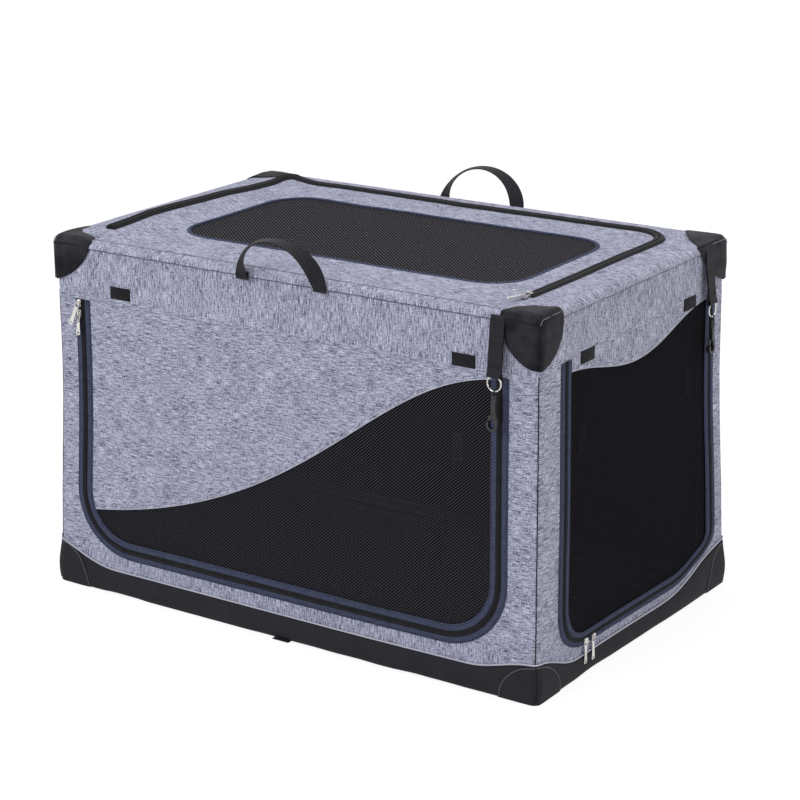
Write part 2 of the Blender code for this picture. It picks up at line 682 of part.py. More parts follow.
def build_clip(name, x, ring_z, bar_z):
    """A plastic saddle that is fixed round the ring and lets the leg frame's bar turn in it."""
    up = 1 if bar_z > ring_z else -1
    outer_ring, outer_bar = RING_TUBE + CLIP_WALL, LEG_TUBE + CLIP_WALL
    lean = math.asin((outer_ring - outer_bar) / abs(bar_z - ring_z))
    turns = [(ring_z, outer_ring, math.pi - lean, 2 * math.pi + lean), (bar_z, outer_bar, lean, math.pi - lean)]
    loop = []
    for z, radius, start, end in turns:
        loop += [(px, z + up * pz) for px, pz in arc((0, 0), radius, start, end, 12)]
    holes = [circle((0, ring_z), RING_TUBE + GAP, 16), circle((0, bar_z), LEG_TUBE + 1.5 * GAP, 16)]
    clip = flat_outline(name, [loop] + holes, CLIP_LENGTH, BLACK_PLASTIC)
    clip.matrix_world = Matrix.Translation((x, 0, 0)) @ FRONT_PLANE
    return clip


def build_frames():
    for end, sx in (("right", 1), ("left", -1)):
        x = sx * RING_X
        build_leg_frame(f"{end}_lower_frame", x, LOWER_LEG_Y, BASE_PIVOT_Z, 1)
        build_leg_frame(f"{end}_upper_frame", x, UPPER_LEG_Y, TOP_PIVOT_Z, -1)
        build_rivet(f"{end}_knee_rivet_front", x, -1)
        build_rivet(f"{end}_knee_rivet_back", x, 1)
        build_clip(f"base_clip_{end}", x, BASE_RING_Z, BASE_PIVOT_Z)
        build_clip(f"top_clip_{end}", x, TOP_RING_Z, TOP_PIVOT_Z)


# Handles, straps and hooks

def ribbon(name, path, side, width, thickness, segments, material):
    """A band of webbing: a narrow grid laid along a path, then thickened about its middle."""
    bm = bmesh.new()
    bmesh.ops.create_grid(bm, x_segments=segments, y_segments=1, size=0.5)
    for vert in bm.verts:
        share, across = vert.co.x + 0.5, vert.co.y
        vert.co = path(share) + side(share) * (across * width)
    return solidify(mesh_object(name, bm, material), thickness, 0.0)


def build_handle(name, centre_x, face, rise, lean):
    """A loop that stands on two flat feet at the seam and twists a quarter turn up to its crown."""
    def path(share):
        a = math.pi * share
        return Vector((-HANDLE_HALF_SPAN * math.cos(a), 0, rise * math.sin(a)))

    def side(share):
        a = math.pi * share
        normal = Vector((-rise * math.cos(a), 0, HANDLE_HALF_SPAN * math.sin(a))).normalized()
        twist = math.pi / 2 * math.sin(a) ** 0.8
        return normal * math.cos(twist) + Vector((0, 1, 0)) * math.sin(twist)

    handle = ribbon(name, path, side, HANDLE_WIDTH, HANDLE_THICK, 22, BLACK_WEBBING)
    handle.matrix_world = (Matrix.Translation((centre_x, face * (DEPTH / 2 + HANDLE_OFF), HANDLE_FOOT_Z))
                           @ Matrix.Rotation(-face * lean, 4, "X"))
    return handle


def build_torus(name, major, minor, around, segments, sides, material, helper=False):
    """A closed ring of wire; around is the direction of its axis."""
    points = []
    turn = Vector((0, 0, 1)).rotation_difference(Vector(around))
    for i in range(segments):
        a = 2 * math.pi * i / segments
        points.append(turn @ Vector((major * math.cos(a), major * math.sin(a), 0)))
    return tube(name, points, minor, cyclic=True, sides=sides, material=material, helper=helper)


def build_strap(name, root):
    """Webbing sewn to the seam, ending in a narrow eye that holds the ring."""
    hole, outside, eye_width = STRAP_EYE
    low = -STRAP_LENGTH + outside - 1.6 * MM
    strap = box(name, (0, 0, low / 2), (STRAP_WIDTH, STRAP_THICK, -low), BLACK_WEBBING, helper=False)
    eye = cylinder(f"{name}_eye", (0, 0, -STRAP_LENGTH), outside, eye_width, (1, 0, 0))
    bore = cylinder(f"{name}_bore", (0, 0, -STRAP_LENGTH), hole, 2 * STRAP_WIDTH, (1, 0, 0))
    pose = root @ Matrix.Rotation(STRAP_TILT, 4, "X")
    for obj in (strap, eye, bore):
        obj.matrix_world = pose
    boolean(strap, eye, "UNION")
    boolean(strap, bore, "DIFFERENCE")
    return strap


def hook_outline():
    """The J of a snap hook: a straight body whose right side runs on into an open round hook."""
    centre = HOOK_CENTRE
    right = centre[0] + HOOK_OUTER
    mouth = HOOK_TIP - 2 * math.pi
    top = BARREL_LOW + 2 * MM
    loop = [(-3.6 * MM, top), (-3.6 * MM, -37 * MM), (-0.4 * MM, -40 * MM)]
    loop += arc(centre, HOOK_INNER, HOOK_SHOULDER, mouth, 14)
    loop += arc(centre, HOOK_OUTER, mouth, 0, 16)
    loop += [(right, -42 * MM), (4.4 * MM, -34 * MM), (3.6 * MM, top)]
    return loop


def build_hook(name, eye_root):
    """Barrel, body and open hook of one moulding, with a cavity for the swivel and a slot for the gate."""
    hook = to_mesh(flat_outline(name, [hook_outline()], HOOK_THICK))
    hook.data.materials.append(BLACK_PLASTIC)
    hook.matrix_world = eye_root @ FRONT_PLANE
    x, z = GATE_PIVOT
    middle = (BARREL_TOP + BARREL_LOW) / 2
    barrel = cylinder(f"{name}_barrel", (0, 0, middle), BARREL_RADIUS, BARREL_TOP - BARREL_LOW, (0, 0, 1))
    cuts = [
        cylinder(f"{name}_bore", (0, 0, BARREL_TOP - 1.5 * MM), BARREL_BORE, 6 * MM, (0, 0, 1)),
        cylinder(f"{name}_cavity", (0, 0, sum(CAVITY) / 2), CAVITY_RADIUS, CAVITY[0] - CAVITY[1], (0, 0, 1)),
        box(f"{name}_slot", (GATE_SLOT[0], 0, z + GATE_SLOT[1]), (GATE_SLOT[2], GATE_THICK + 0.7 * MM, GATE_SLOT[3])),
        cylinder(f"{name}_pin_hole", (x, 0, z), GATE_PIN + GAP, 2 * HOOK_THICK, (0, 1, 0), 12),
    ]
    for obj in [barrel] + cuts:
        obj.matrix_world = eye_root
    boolean(hook, barrel, "UNION")
    for cut in cuts:
        boolean(hook, cut, "DIFFERENCE")
    return hook


def build_gate(name, eye_root):
    """The sprung gate: a round eye on its pin, an arm that closes the hook's mouth, and a bump for the thumb."""
    tip_radius = (HOOK_OUTER + HOOK_INNER) / 2
    pivot = Vector(GATE_PIVOT)
    mouth = Vector(HOOK_CENTRE) + tip_radius * Vector((math.cos(HOOK_TIP), math.sin(HOOK_TIP)))
    arm = mouth + Vector((-0.6, 1.6)) * MM - pivot
    along = arm.normalized()
    across = Vector((-along.y, along.x)) * GATE_WIDTH / 2
    back = math.atan2(-along.y, -along.x)
    bump = -across.normalized() * THUMB_RISE
    loop = [Vector(p) for p in arc((0, 0), GATE_EYE, back - math.radians(110), back + math.radians(110), 12)]
    loop += [arm * 0.42 - across, arm * 0.55 - across + bump, arm * 0.72 - across + bump, arm * 0.84 - across,
             arm - across, arm + across]
    gate = to_mesh(flat_outline(name, [loop], GATE_THICK))
    gate.data.materials.append(BLACK_PLASTIC)
    pin = cylinder(f"{name}_pin", (0, 0, 0), GATE_PIN, GATE_PIN_LENGTH, (0, 0, 1), 12)
    for obj in (gate, pin):
        obj.matrix_world = eye_root @ FRONT_PLANE @ Matrix.Translation((pivot.x, pivot.y, 0))
    return boolean(gate, pin, "UNION")


def build_hook_set(prefix, root):
    """Strap, ring, swivel eye, hook and gate that hang beside a door."""
    build_strap(f"{prefix}_strap", root)
    tilt = Matrix.Rotation(STRAP_TILT, 4, "X")
    eye = root @ Matrix.Translation(tilt @ Vector((0, 0, -STRAP_LENGTH)))
    ring = build_torus(f"{prefix}_ring", RING_MAJOR, RING_WIRE, (0, 1, 0), 26, 2, BRIGHT_METAL)
    ring.matrix_world = eye @ Matrix.Translation((0, 0, -RING_MAJOR))
    swivel = eye @ Matrix.Translation((0, 0, -2 * RING_MAJOR))
    loop = to_mesh(build_torus(f"{prefix}_swivel_eye", EYE_MAJOR, EYE_WIRE, (1, 0, 0), 18, 1, None))
    loop.data.materials.append(BLACK_PLASTIC)
    loop.matrix_world = swivel
    top, low = -EYE_MAJOR + 0.3 * MM, sum(FLANGE) / 2
    shapes = [cylinder(f"{prefix}_neck", (0, 0, (top + low) / 2), NECK_RADIUS, top - low, (0, 0, 1), 12),
              cylinder(f"{prefix}_flange", (0, 0, low), FLANGE_RADIUS, FLANGE[0] - FLANGE[1], (0, 0, 1), 16)]
    for shape in shapes:
        shape.matrix_world = swivel
        boolean(loop, shape, "UNION")
    build_hook(f"{prefix}_snap_hook", swivel)
    build_gate(f"{prefix}_hook_gate", swivel)


def build_webbing():
    build_handle("front_handle", HANDLE_FRONT_X, -1, HANDLE_RISE_FRONT, HANDLE_LEAN)
    build_handle("back_handle", HANDLE_BACK_X, 1, HANDLE_RISE_BACK, HANDLE_LEAN)
    off = STRAP_OFF
    build_hook_set("front", Matrix.Translation((STRAP_X, -DEPTH / 2 - off, SEAM_Z)))
    quarter = Matrix.Rotation(math.pi / 2, 4, "Z")
    build_hook_set("end", Matrix.Translation((WIDTH / 2 + off, STRAP_END_Y, SEAM_Z)) @ quarter)


# Zip sliders

def build_slider(name, pose):
    """A slider body with the wire bridge that its tab hangs from; local X runs along the zip."""
    length, width = SLIDER_LENGTH, SLIDER_WIDTH
    loop = [(-length / 2, -width * 0.3), (-length / 2 + 2 * MM, -width * 0.42), (length / 2 - 4 * MM, -width / 2),
            (length / 2 - 1 * MM, -width * 0.42), (length / 2, -width * 0.2)]
    loop += [(x, -y) for x, y in loop[::-1]]
    body = to_mesh(flat_outline(name, [loop], SLIDER_THICK))
    body.data.materials.append(BRIGHT_METAL)
    body.matrix_world = pose @ Matrix.Translation((0, 0, SLIDER_THICK / 2))
    half, rise, top = BRIDGE_HALF, BRIDGE_RISE, SLIDER_THICK
    points = [(-half, 0, top - 1 * MM), (-half, 0, top + rise * 0.72), (-half * 0.75, 0, top + rise),
              (half * 0.75, 0, top + rise), (half, 0, top + rise * 0.72), (half, 0, top - 1 * MM)]
    bridge = to_mesh(tube(f"{name}_bridge", points, BRIDGE_WIRE, sides=1, helper=True))
    bridge.matrix_world = pose
    return boolean(body, bridge, "UNION")


def tab_outline():
    """A pull tab from its cross bar, at the origin, to its round end: outline, window and end hole."""
    window_length, window_half = TAB_WINDOW
    side = [(TAB_BAR / 2, TAB_HEAD - 0.8 * MM), (-0.4 * MM, TAB_HEAD), (-window_length, TAB_HEAD),
            (-window_length - 3.5 * MM, TAB_WAIST), (-TAB_LENGTH * 0.6, TAB_WAIST + 0.3 * MM)]
    end = -TAB_LENGTH + TAB_END
    nose = arc((end, 0), TAB_END, math.radians(70), math.pi, 6)
    loop = side + nose + [(x, -y) for x, y in nose[-2::-1]] + [(x, -y) for x, y in side[::-1]]
    window = [(-TAB_BAR / 2, window_half), (-TAB_BAR / 2, -window_half), (-window_length, -window_half),
              (-window_length, window_half)]
    return [loop, window, circle((end, 0), TAB_HOLE, 10)]


def build_tab(name, pose):
    tab = flat_outline(name, tab_outline(), TAB_THICK, BRIGHT_METAL)
    tab.matrix_world = pose
    return tab


def slider_pose(plane, along, across, angle, depth):
    """A slider's place on a wall: angle is the zip's direction in the wall's plane."""
    return (plane @ Matrix.Translation((along, across, depth + ZIP_THICK + 2 * GAP))
            @ Matrix.Rotation(angle, 4, "Z"))


def build_sliders():
    """Two sliders on each zip. A tab hangs from its bridge; on a level slider it hangs round one post.

    The wall's sliders stay on the sewn side of the zip, clear of the door as it swings out.
    """
    bar_x, bar_z = BRIDGE_HALF - 2.4 * MM, SLIDER_THICK + TAB_LIFT + TAB_THICK / 2 - 0.2 * MM
    up = math.pi / 2

    def leaning(yaw, lift):
        return (Matrix.Translation((bar_x, 0, bar_z)) @ Matrix.Rotation(math.radians(lift), 4, "Y")
                @ Matrix.Rotation(math.radians(-yaw), 4, "Z"))

    for name, z, yaw, lift in (("upper", FRONT_SLIDERS_Z[0], 14, 17), ("lower", FRONT_SLIDERS_Z[1], 0, 4)):
        pose = slider_pose(FRONT_PLANE, FRONT_ZIP["left"] - SLIDER_ASIDE, z, up, WALL_Y)
        build_slider(f"front_slider_{name}", pose)
        build_tab(f"front_tab_{name}", pose @ leaning(yaw, lift))
    corner = END_ZIP["round_left"]
    centre = (END_ZIP["left"] + corner, END_ZIP["low"] + corner)
    radius = corner + SLIDER_ASIDE
    for name, y, turn in (("corner", centre[0], END_CORNER_TURN), ("run", END_RUN_Y, 0.0)):
        along, height = y - radius * math.sin(turn), centre[1] - radius * math.cos(turn)
        pose = slider_pose(END_PLANE, along, height, -turn, WALL_X)
        build_slider(f"end_slider_{name}", pose)
        post = pose @ Matrix.Translation((-BRIDGE_HALF, 0, bar_z)) @ Matrix.Rotation(turn, 4, "Z")
        hang = Matrix.Translation((0, TAB_HANG, 0)) @ Matrix.Rotation(up, 4, "Z")
        build_tab(f"end_tab_{name}", post @ hang)
    x = TOP_DOOR["right"] + TOP_SLIT / 2
    for name, y, yaw, lift in (("run", TOP_SLIDERS_Y[0], 16, 17), ("stop", TOP_SLIDERS_Y[1], 12, 4)):
        pose = slider_pose(TOP_PLANE, x, y, up, HEIGHT - ZIP_THICK / 2)
        build_slider(f"top_slider_{name}", pose)
        build_tab(f"top_tab_{name}", pose @ leaning(yaw, lift))


def build_mat():
    """A thin padded mat: a coarse block shaped with a crown, thin edges and drawn-in sides, then subdivided."""
    bm = bmesh.new()
    bmesh.ops.create_cube(bm, size=2.0)
    for axis, cuts in ((0, 11), (1, 7)):
        runs = [e for e in bm.edges if abs(e.verts[0].co[axis] - e.verts[1].co[axis]) > 1e-4
                and abs(e.verts[0].co[2] - e.verts[1].co[2]) < 1e-4]
        bmesh.ops.subdivide_edges(bm, edges=runs, cuts=cuts, use_grid_fill=True)
    for vert in bm.verts:
        u, v, top = vert.co.x, vert.co.y, vert.co.z > 0
        crown = (1 - u ** 6) * (1 - v ** 6)
        height = MAT_EDGE_LOW + (MAT_EDGE_HIGH - MAT_EDGE_LOW) * top
        height += crown * ((MAT_THICK - MAT_EDGE_HIGH) if top else -MAT_EDGE_LOW)
        drawn_x = 1 - MAT_DRAWN / MAT_X * (1 - v * v)
        drawn_y = 1 - MAT_DRAWN / MAT_Y * (1 - u * u)
        vert.co = (u * MAT_X * drawn_x, v * MAT_Y * drawn_y, height)
    mat = mesh_object("floor_mat", bm, MAT_FLEECE)
    mat.data.shade_smooth()
    mat.location = (0, 0, TRAY_THICK + 2 * GAP)
    soften = mat.modifiers.new("soft", "SUBSURF")
    soften.levels = soften.render_levels = 1
    return mat


def main():
    build_tray()
    build_walls()
    build_front_door()
    build_end_door()
    build_lid()
    build_top_door()
    build_top_caps()
    build_rings()
    build_frames()
    build_webbing()
    build_sliders()
    build_mat()


main()
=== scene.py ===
"""Looks of a folding pet kennel: a heathered fabric box with three zipped doors on a folding steel frame.

Cloth is laid out flat, cut to its outline and then placed on a face of the kennel, so that walls, doors and zips
share one gentle ripple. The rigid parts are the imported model's own solids with finished materials. Sizes are in metres.
"""

import logging
import math
from dataclasses import dataclass, field
from enum import Enum
from typing import Callable, Sequence

import bmesh
import bpy
import numpy as np
from mathutils import Matrix, Vector, noise
from mathutils.geometry import delaunay_2d_cdt


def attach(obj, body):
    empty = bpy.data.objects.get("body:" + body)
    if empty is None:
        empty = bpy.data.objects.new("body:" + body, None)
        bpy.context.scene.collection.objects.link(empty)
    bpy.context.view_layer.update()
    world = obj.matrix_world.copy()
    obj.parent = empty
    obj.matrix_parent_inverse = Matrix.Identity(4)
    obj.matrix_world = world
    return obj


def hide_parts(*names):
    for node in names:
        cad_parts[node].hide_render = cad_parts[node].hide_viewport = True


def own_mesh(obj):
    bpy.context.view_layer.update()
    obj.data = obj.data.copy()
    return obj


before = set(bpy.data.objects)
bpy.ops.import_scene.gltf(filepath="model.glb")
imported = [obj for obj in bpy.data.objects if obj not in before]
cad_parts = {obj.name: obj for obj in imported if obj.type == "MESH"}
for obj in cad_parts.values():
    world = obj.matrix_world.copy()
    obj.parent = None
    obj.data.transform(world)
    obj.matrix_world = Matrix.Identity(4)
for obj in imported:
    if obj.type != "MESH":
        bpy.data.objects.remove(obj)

MM = 0.001
HALF_LENGTH, HALF_WIDTH = 455 * MM, 290 * MM
# A wave texture repeats every 0.314 of its coordinates.
WAVE = 0.314
LOG = logging.getLogger("kennel")
Flat = list[tuple[float, float]]
Place = Callable[[np.ndarray, np.ndarray, np.ndarray], np.ndarray]


# Small tools


def linear(code: str) -> tuple[float, float, float, float]:
    """Turns an sRGB hex colour to linear.

    Args:
        code: the colour as #rrggbb.

    Returns:
        Linear red, green, blue and an alpha of 1.
    """
    channels = [int(code[i:i + 2], 16) / 255 for i in (1, 3, 5)]
    return (*[c / 12.92 if c <= 0.04045 else ((c + 0.055) / 1.055) ** 2.4 for c in channels], 1.0)


def smooth_step(low: float, high: float, value: np.ndarray) -> np.ndarray:
    """Rises smoothly from 0 at low to 1 at high."""
    t = np.clip((value - low) / (high - low), 0.0, 1.0)
    return t * t * (3 - 2 * t)


def arc(centre: tuple[float, float], radius: float, start: float, end: float, steps: int) -> Flat:
    """Points along a round arc, both ends included, with angles in radians."""
    return [(centre[0] + radius * math.cos(start + (end - start) * i / steps),
             centre[1] + radius * math.sin(start + (end - start) * i / steps)) for i in range(steps + 1)]


def round_rect(left: float, right: float, low: float, high: float, radius: float, steps: int = 12) -> Flat:
    """A rounded rectangle, counterclockwise from its lower left corner.

    Args:
        left: its left edge.
        right: its right edge.
        low: its lower edge.
        high: its upper edge.
        radius: its corners' radius.
        steps: steps round each corner.

    Returns:
        The closed loop.
    """
    quarter = math.pi / 2
    loop: Flat = []
    for x, y, number in ((left + radius, low + radius, 2), (right - radius, low + radius, 3),
                         (right - radius, high - radius, 0), (left + radius, high - radius, 1)):
        loop += arc((x, y), radius, quarter * number, quarter * (number + 1), steps)
    return loop


def in_mm(*points: tuple[float, ...]) -> list[tuple[float, ...]]:
    """Points whose coordinates are given in millimetres."""
    return [tuple(value * MM for value in point) for point in points]


def cubic(points: Sequence[tuple[float, float]], steps: int) -> Flat:
    """Points on a cubic curve given by its two ends and two handles."""
    a, b, c, d = (np.array(p) for p in points)
    return [tuple(a * (1 - t) ** 3 + b * 3 * t * (1 - t) ** 2 + c * 3 * t * t * (1 - t) + d * t ** 3)
            for t in np.linspace(0, 1, steps + 1)]


def dense(loop: Flat, step: float, closed: bool = True) -> Flat:
    """Adds points to a chain so that none is further from the next than step.

    Args:
        loop: the chain.
        step: the greatest distance.
        closed: whether the chain joins up with itself.

    Returns:
        The denser chain.
    """
    made: Flat = []
    pairs = list(zip(loop, loop[1:] + loop[:1])) if closed else list(zip(loop, loop[1:]))
    for (x0, y0), (x1, y1) in pairs:
        length = math.hypot(x1 - x0, y1 - y0)
        if length < 1e-7:
            continue
        count = max(1, math.ceil(length / step))
        made += [(x0 + (x1 - x0) * i / count, y0 + (y1 - y0) * i / count) for i in range(count)]
    return made if closed else made + [loop[-1]]


def is_inside(points: np.ndarray, loop: Flat) -> np.ndarray:
    """Says for each point whether it is inside a closed loop.

    Args:
        points: flat points, one a row.
        loop: the closed loop.

    Returns:
        True or false for each point.
    """
    x, y = points[:, 0], points[:, 1]
    found = np.zeros(len(points), bool)
    for (x0, y0), (x1, y1) in zip(loop, loop[1:] + loop[:1]):
        if y0 != y1:
            found ^= ((y0 > y) != (y1 > y)) & (x < (x1 - x0) * (y - y0) / (y1 - y0) + x0)
    return found


def distance_to(points: np.ndarray, loop: Flat) -> np.ndarray:
    """Distance from each point to the nearest edge of a closed loop.

    Args:
        points: flat points, one a row.
        loop: the closed loop.

    Returns:
        A distance for each point.
    """
    best = np.full(len(points), 1e9)
    for p0, p1 in zip(loop, loop[1:] + loop[:1]):
        a, d = np.array(p0), np.array(p1) - np.array(p0)
        t = np.clip(((points - a) @ d) / max(float(d @ d), 1e-18), 0, 1)
        best = np.minimum(best, np.hypot(*(points - a - t[:, None] * d).T))
    return best


def deselect_all() -> None:
    """Leaves nothing selected, so that an operator acts only on its own piece."""
    for chosen in bpy.context.selected_objects:
        chosen.select_set(False)


def make_active(obj: bpy.types.Object) -> bpy.types.Object:
    """Selects one object alone and makes it active.

    Args:
        obj: the object.

    Returns:
        The same object.
    """
    deselect_all()
    obj.select_set(True)
    bpy.context.view_layer.objects.active = obj
    return obj


def add_modifier(obj: bpy.types.Object, kind: str, **settings: object) -> bpy.types.Object:
    """Adds a modifier with its settings and applies it.

    Args:
        obj: the object.
        kind: the modifier's type.
        settings: its settings by name.

    Returns:
        The same object.
    """
    make_active(obj)
    modifier = obj.modifiers.new(kind.lower(), kind)
    for key, value in settings.items():
        setattr(modifier, key, value)
    bpy.ops.object.modifier_apply(modifier=modifier.name)
    return obj


# Materials


def add_node(tree: bpy.types.NodeTree, kind: str, settings: dict | None = None,
             links: dict | None = None) -> bpy.types.Node:
    """Adds a shader node.

    Args:
        tree: the material's or world's nodes.
        kind: the node's type.
        settings: values by property name, or by input name or number.
        links: output sockets by the input name or number that they feed.

    Returns:
        The new node.
    """
    made = tree.nodes.new(kind)
    for key, value in (settings or {}).items():
        if isinstance(key, str) and hasattr(made, key):
            setattr(made, key, value)
        else:
            made.inputs[key].default_value = value
    for key, socket in (links or {}).items():
        tree.links.new(socket, made.inputs[key])
    return made


@dataclass(frozen=True)
class Finish:
    """A finish with its colour, gloss and pattern; a pattern is drawn by the subclasses."""

    name: str
    slot: str
    colour: str
    roughness: float = 0.8
    metallic: float = 0.0
    specular: float = 0.5
    sheen: float = 0.0
    sheen_colour: str = "#ffffff"

    def pattern(self, tree: bpy.types.NodeTree) -> dict[str, bpy.types.NodeSocket]:
        """Draws the pattern and returns the sockets that feed the shader, by input name."""
        return {}

    def build(self) -> bpy.types.Material:
        """Makes the material.

        Returns:
            The new material.
        """
        material = bpy.data.materials.new(self.name)
        material.use_nodes = True
        tree = material.node_tree
        shader = tree.nodes["Principled BSDF"]
        shader.inputs["Base Color"].default_value = linear(self.colour)
        shader.inputs["Roughness"].default_value = self.roughness
        shader.inputs["Metallic"].default_value = self.metallic
        shader.inputs["Specular IOR Level"].default_value = self.specular
        shader.inputs["Sheen Weight"].default_value = self.sheen
        shader.inputs["Sheen Tint"].default_value = linear(self.sheen_colour)
        for name, socket in self.pattern(tree).items():
            tree.links.new(socket, shader.inputs[name])
        return material

    def laid(self, tree: bpy.types.NodeTree, along: float, across: float) -> bpy.types.NodeSocket:
        """Coordinates that follow the cloth, scaled to so many repeats a metre along and across it.

        Args:
            tree: the material's nodes.
            along: repeats along the cloth.
            across: repeats across it.

        Returns:
            The coordinates.
        """
        uv = add_node(tree, "ShaderNodeUVMap", {"uv_map": "cloth"})
        mapping = add_node(tree, "ShaderNodeMapping", {"Scale": (along, across, 1.0)}, {"Vector": uv.outputs["UV"]})
        return mapping.outputs["Vector"]


@dataclass(frozen=True)
class HeatheredPolyester(Finish):
    """Woven polyester of pale and dark yarns: short slubs along the weft give it its grey-lavender streaks."""

    dark: str = "#4c4e66"
    pale: str = "#cdcfe6"
    slub_length: float = 17.0 * MM
    slub_width: float = 1.45 * MM
    weave: float = 1.2 * MM

    def pattern(self, tree: bpy.types.NodeTree) -> dict[str, bpy.types.NodeSocket]:
        """Slubs 17 mm by 1.5 mm, shorter flecks, cross yarns, a slow change of tone, a 1.2 mm weave (real 0.5 mm).

        Args:
            tree: the material's nodes.

        Returns:
            Sockets by input name.
        """
        layers = ((1.0, self.slub_length, self.slub_width, 2.0), (0.4, 5.0 * MM, 1.4 * MM, 1.0),
                  (0.45, 1.5 * MM, 8.0 * MM, 1.0), (0.16, 60 * MM, 30 * MM, 1.0))
        mixed = slubs = None
        for weight, length, width, detail in layers:
            layer = add_node(tree, "ShaderNodeTexNoise", {"noise_dimensions": "2D", "Scale": 1.0, "Detail": detail,
                                                          "Roughness": 0.6},
                             {"Vector": self.laid(tree, 1 / length, 1 / width)})
            slubs = layer if slubs is None else slubs
            added = {0: layer.outputs["Fac"]}
            if mixed is not None:
                added[2] = mixed.outputs["Value"]
            mixed = add_node(tree, "ShaderNodeMath", {"operation": "MULTIPLY_ADD", 1: weight, 2: 0.0}, added)
        ramp = add_node(tree, "ShaderNodeMapRange", {"From Min": 0.75, "From Max": 1.26},
                        {"Value": mixed.outputs["Value"]})
        colour = add_node(tree, "ShaderNodeMix", {"data_type": "RGBA", 6: linear(self.dark), 7: linear(self.pale)},
                          {0: ramp.outputs["Result"]})
        weft = add_node(tree, "ShaderNodeTexWave", {"bands_direction": "Y", "Scale": 1.0, "Distortion": 0.6},
                        {"Vector": self.laid(tree, 1 / (11 * MM), WAVE / self.weave)})
        warp = add_node(tree, "ShaderNodeTexWave", {"bands_direction": "X", "Scale": 1.0, "Distortion": 0.6},
                        {"Vector": self.laid(tree, WAVE / self.weave, 1 / (11 * MM))})
        weave = add_node(tree, "ShaderNodeMath", {"operation": "MULTIPLY"},
                         {0: weft.outputs["Fac"], 1: warp.outputs["Fac"]})
        height = add_node(tree, "ShaderNodeMath", {"operation": "ADD"},
                          {0: weave.outputs["Value"], 1: slubs.outputs["Fac"]})
        bump = add_node(tree, "ShaderNodeBump", {"Strength": 0.35, "Distance": 0.35 * MM},
                        {"Height": height.outputs["Value"]})
        return {"Base Color": colour.outputs[2], "Normal": bump.outputs["Normal"]}


@dataclass(frozen=True)
class KnittedMesh(Finish):
    """Warp-knitted polyester netting: black yarn round staggered holes, through which the inside shows faintly."""

    pitch: float = 5.6 * MM
    rise: float = 5.0 * MM
    # Painted highlight on the yarn between the holes, fading to the yarn's own colour by the holes.
    yarn_highlight: str = "#4a4952"

    def pattern(self, tree: bpy.types.NodeTree) -> dict[str, bpy.types.NodeSocket]:
        """Staggered holes (real 2.2 mm pitch, drawn coarser so that they show) with a painted highlight on the upper
        yarn that darkens towards the holes.

        Args:
            tree: the material's nodes.

        Returns:
            Sockets by input name.
        """
        split = add_node(tree, "ShaderNodeSeparateXYZ", None,
                         {0: self.laid(tree, 2 * math.pi / self.pitch, 2 * math.pi / self.rise)})
        waves = [add_node(tree, "ShaderNodeMath", {"operation": "COSINE"}, {0: split.outputs[i]}) for i in (0, 1)]
        cells = add_node(tree, "ShaderNodeMath", {"operation": "MULTIPLY"},
                         {0: waves[0].outputs[0], 1: waves[1].outputs[0]})
        holes = add_node(tree, "ShaderNodeMapRange", {"From Min": 0.25, "From Max": 0.45, "To Min": 1.0,
                                                      "To Max": 0.0}, {"Value": cells.outputs[0]})
        yarn = add_node(tree, "ShaderNodeMapRange", {"From Min": -0.85, "From Max": 0.1},
                        {"Value": cells.outputs[0]})
        colour = add_node(tree, "ShaderNodeMix", {"data_type": "RGBA", 6: linear(self.yarn_highlight),
                                                  7: linear(self.colour)}, {0: yarn.outputs["Result"]})
        bump = add_node(tree, "ShaderNodeBump", {"Strength": 0.5, "Distance": 0.5 * MM, "invert": True},
                        {"Height": cells.outputs[0]})
        return {"Base Color": colour.outputs[2], "Alpha": holes.outputs["Result"], "Normal": bump.outputs["Normal"]}


@dataclass(frozen=True)
class RibbedTape(Finish):
    """Woven tape: its ribs across or along it are painted into its colour as fine lines, light on the crests and
    painted shade in the grooves, over a slow random change of tone.
    """

    rib: float = 1.3 * MM
    along: bool = False
    depth: float = 0.3 * MM
    # Colour of the rib grooves, a painted shade, and of darker random patches of tone.
    groove_shade_and_tone: str = "#30303a"

    def pattern(self, tree: bpy.types.NodeTree) -> dict[str, bpy.types.NodeSocket]:
        """Ribs (real 0.6 to 1 mm, drawn at 1.3 mm) as bump and as painted light and shade, and a faint change of tone
        along the tape.

        Args:
            tree: the material's nodes.

        Returns:
            Sockets by input name.
        """
        scale = WAVE / self.rib
        vector = self.laid(tree, 1 / 0.02 if self.along else scale, scale if self.along else 1 / 0.02)
        ribs = add_node(tree, "ShaderNodeTexWave", {"bands_direction": "Y" if self.along else "X", "Scale": 1.0,
                                                    "Distortion": 0.4}, {"Vector": vector})
        tones = add_node(tree, "ShaderNodeTexNoise", {"noise_dimensions": "2D", "Scale": 1.0, "Detail": 3.0},
                         {"Vector": self.laid(tree, 1 / 0.012, 1 / 0.004)})
        share = add_node(tree, "ShaderNodeMath", {"operation": "MULTIPLY_ADD", 1: 0.45},
                         {0: ribs.outputs["Fac"], 2: tones.outputs["Fac"]})
        ramp = add_node(tree, "ShaderNodeMapRange", {"From Min": 0.3, "From Max": 0.85},
                        {"Value": share.outputs[0]})
        colour = add_node(tree, "ShaderNodeMix", {"data_type": "RGBA", 6: linear(self.groove_shade_and_tone),
                                                  7: linear(self.colour)}, {0: ramp.outputs["Result"]})
        bump = add_node(tree, "ShaderNodeBump", {"Strength": 0.6, "Distance": self.depth},
                        {"Height": share.outputs[0]})
        return {"Base Color": colour.outputs[2], "Normal": bump.outputs["Normal"]}


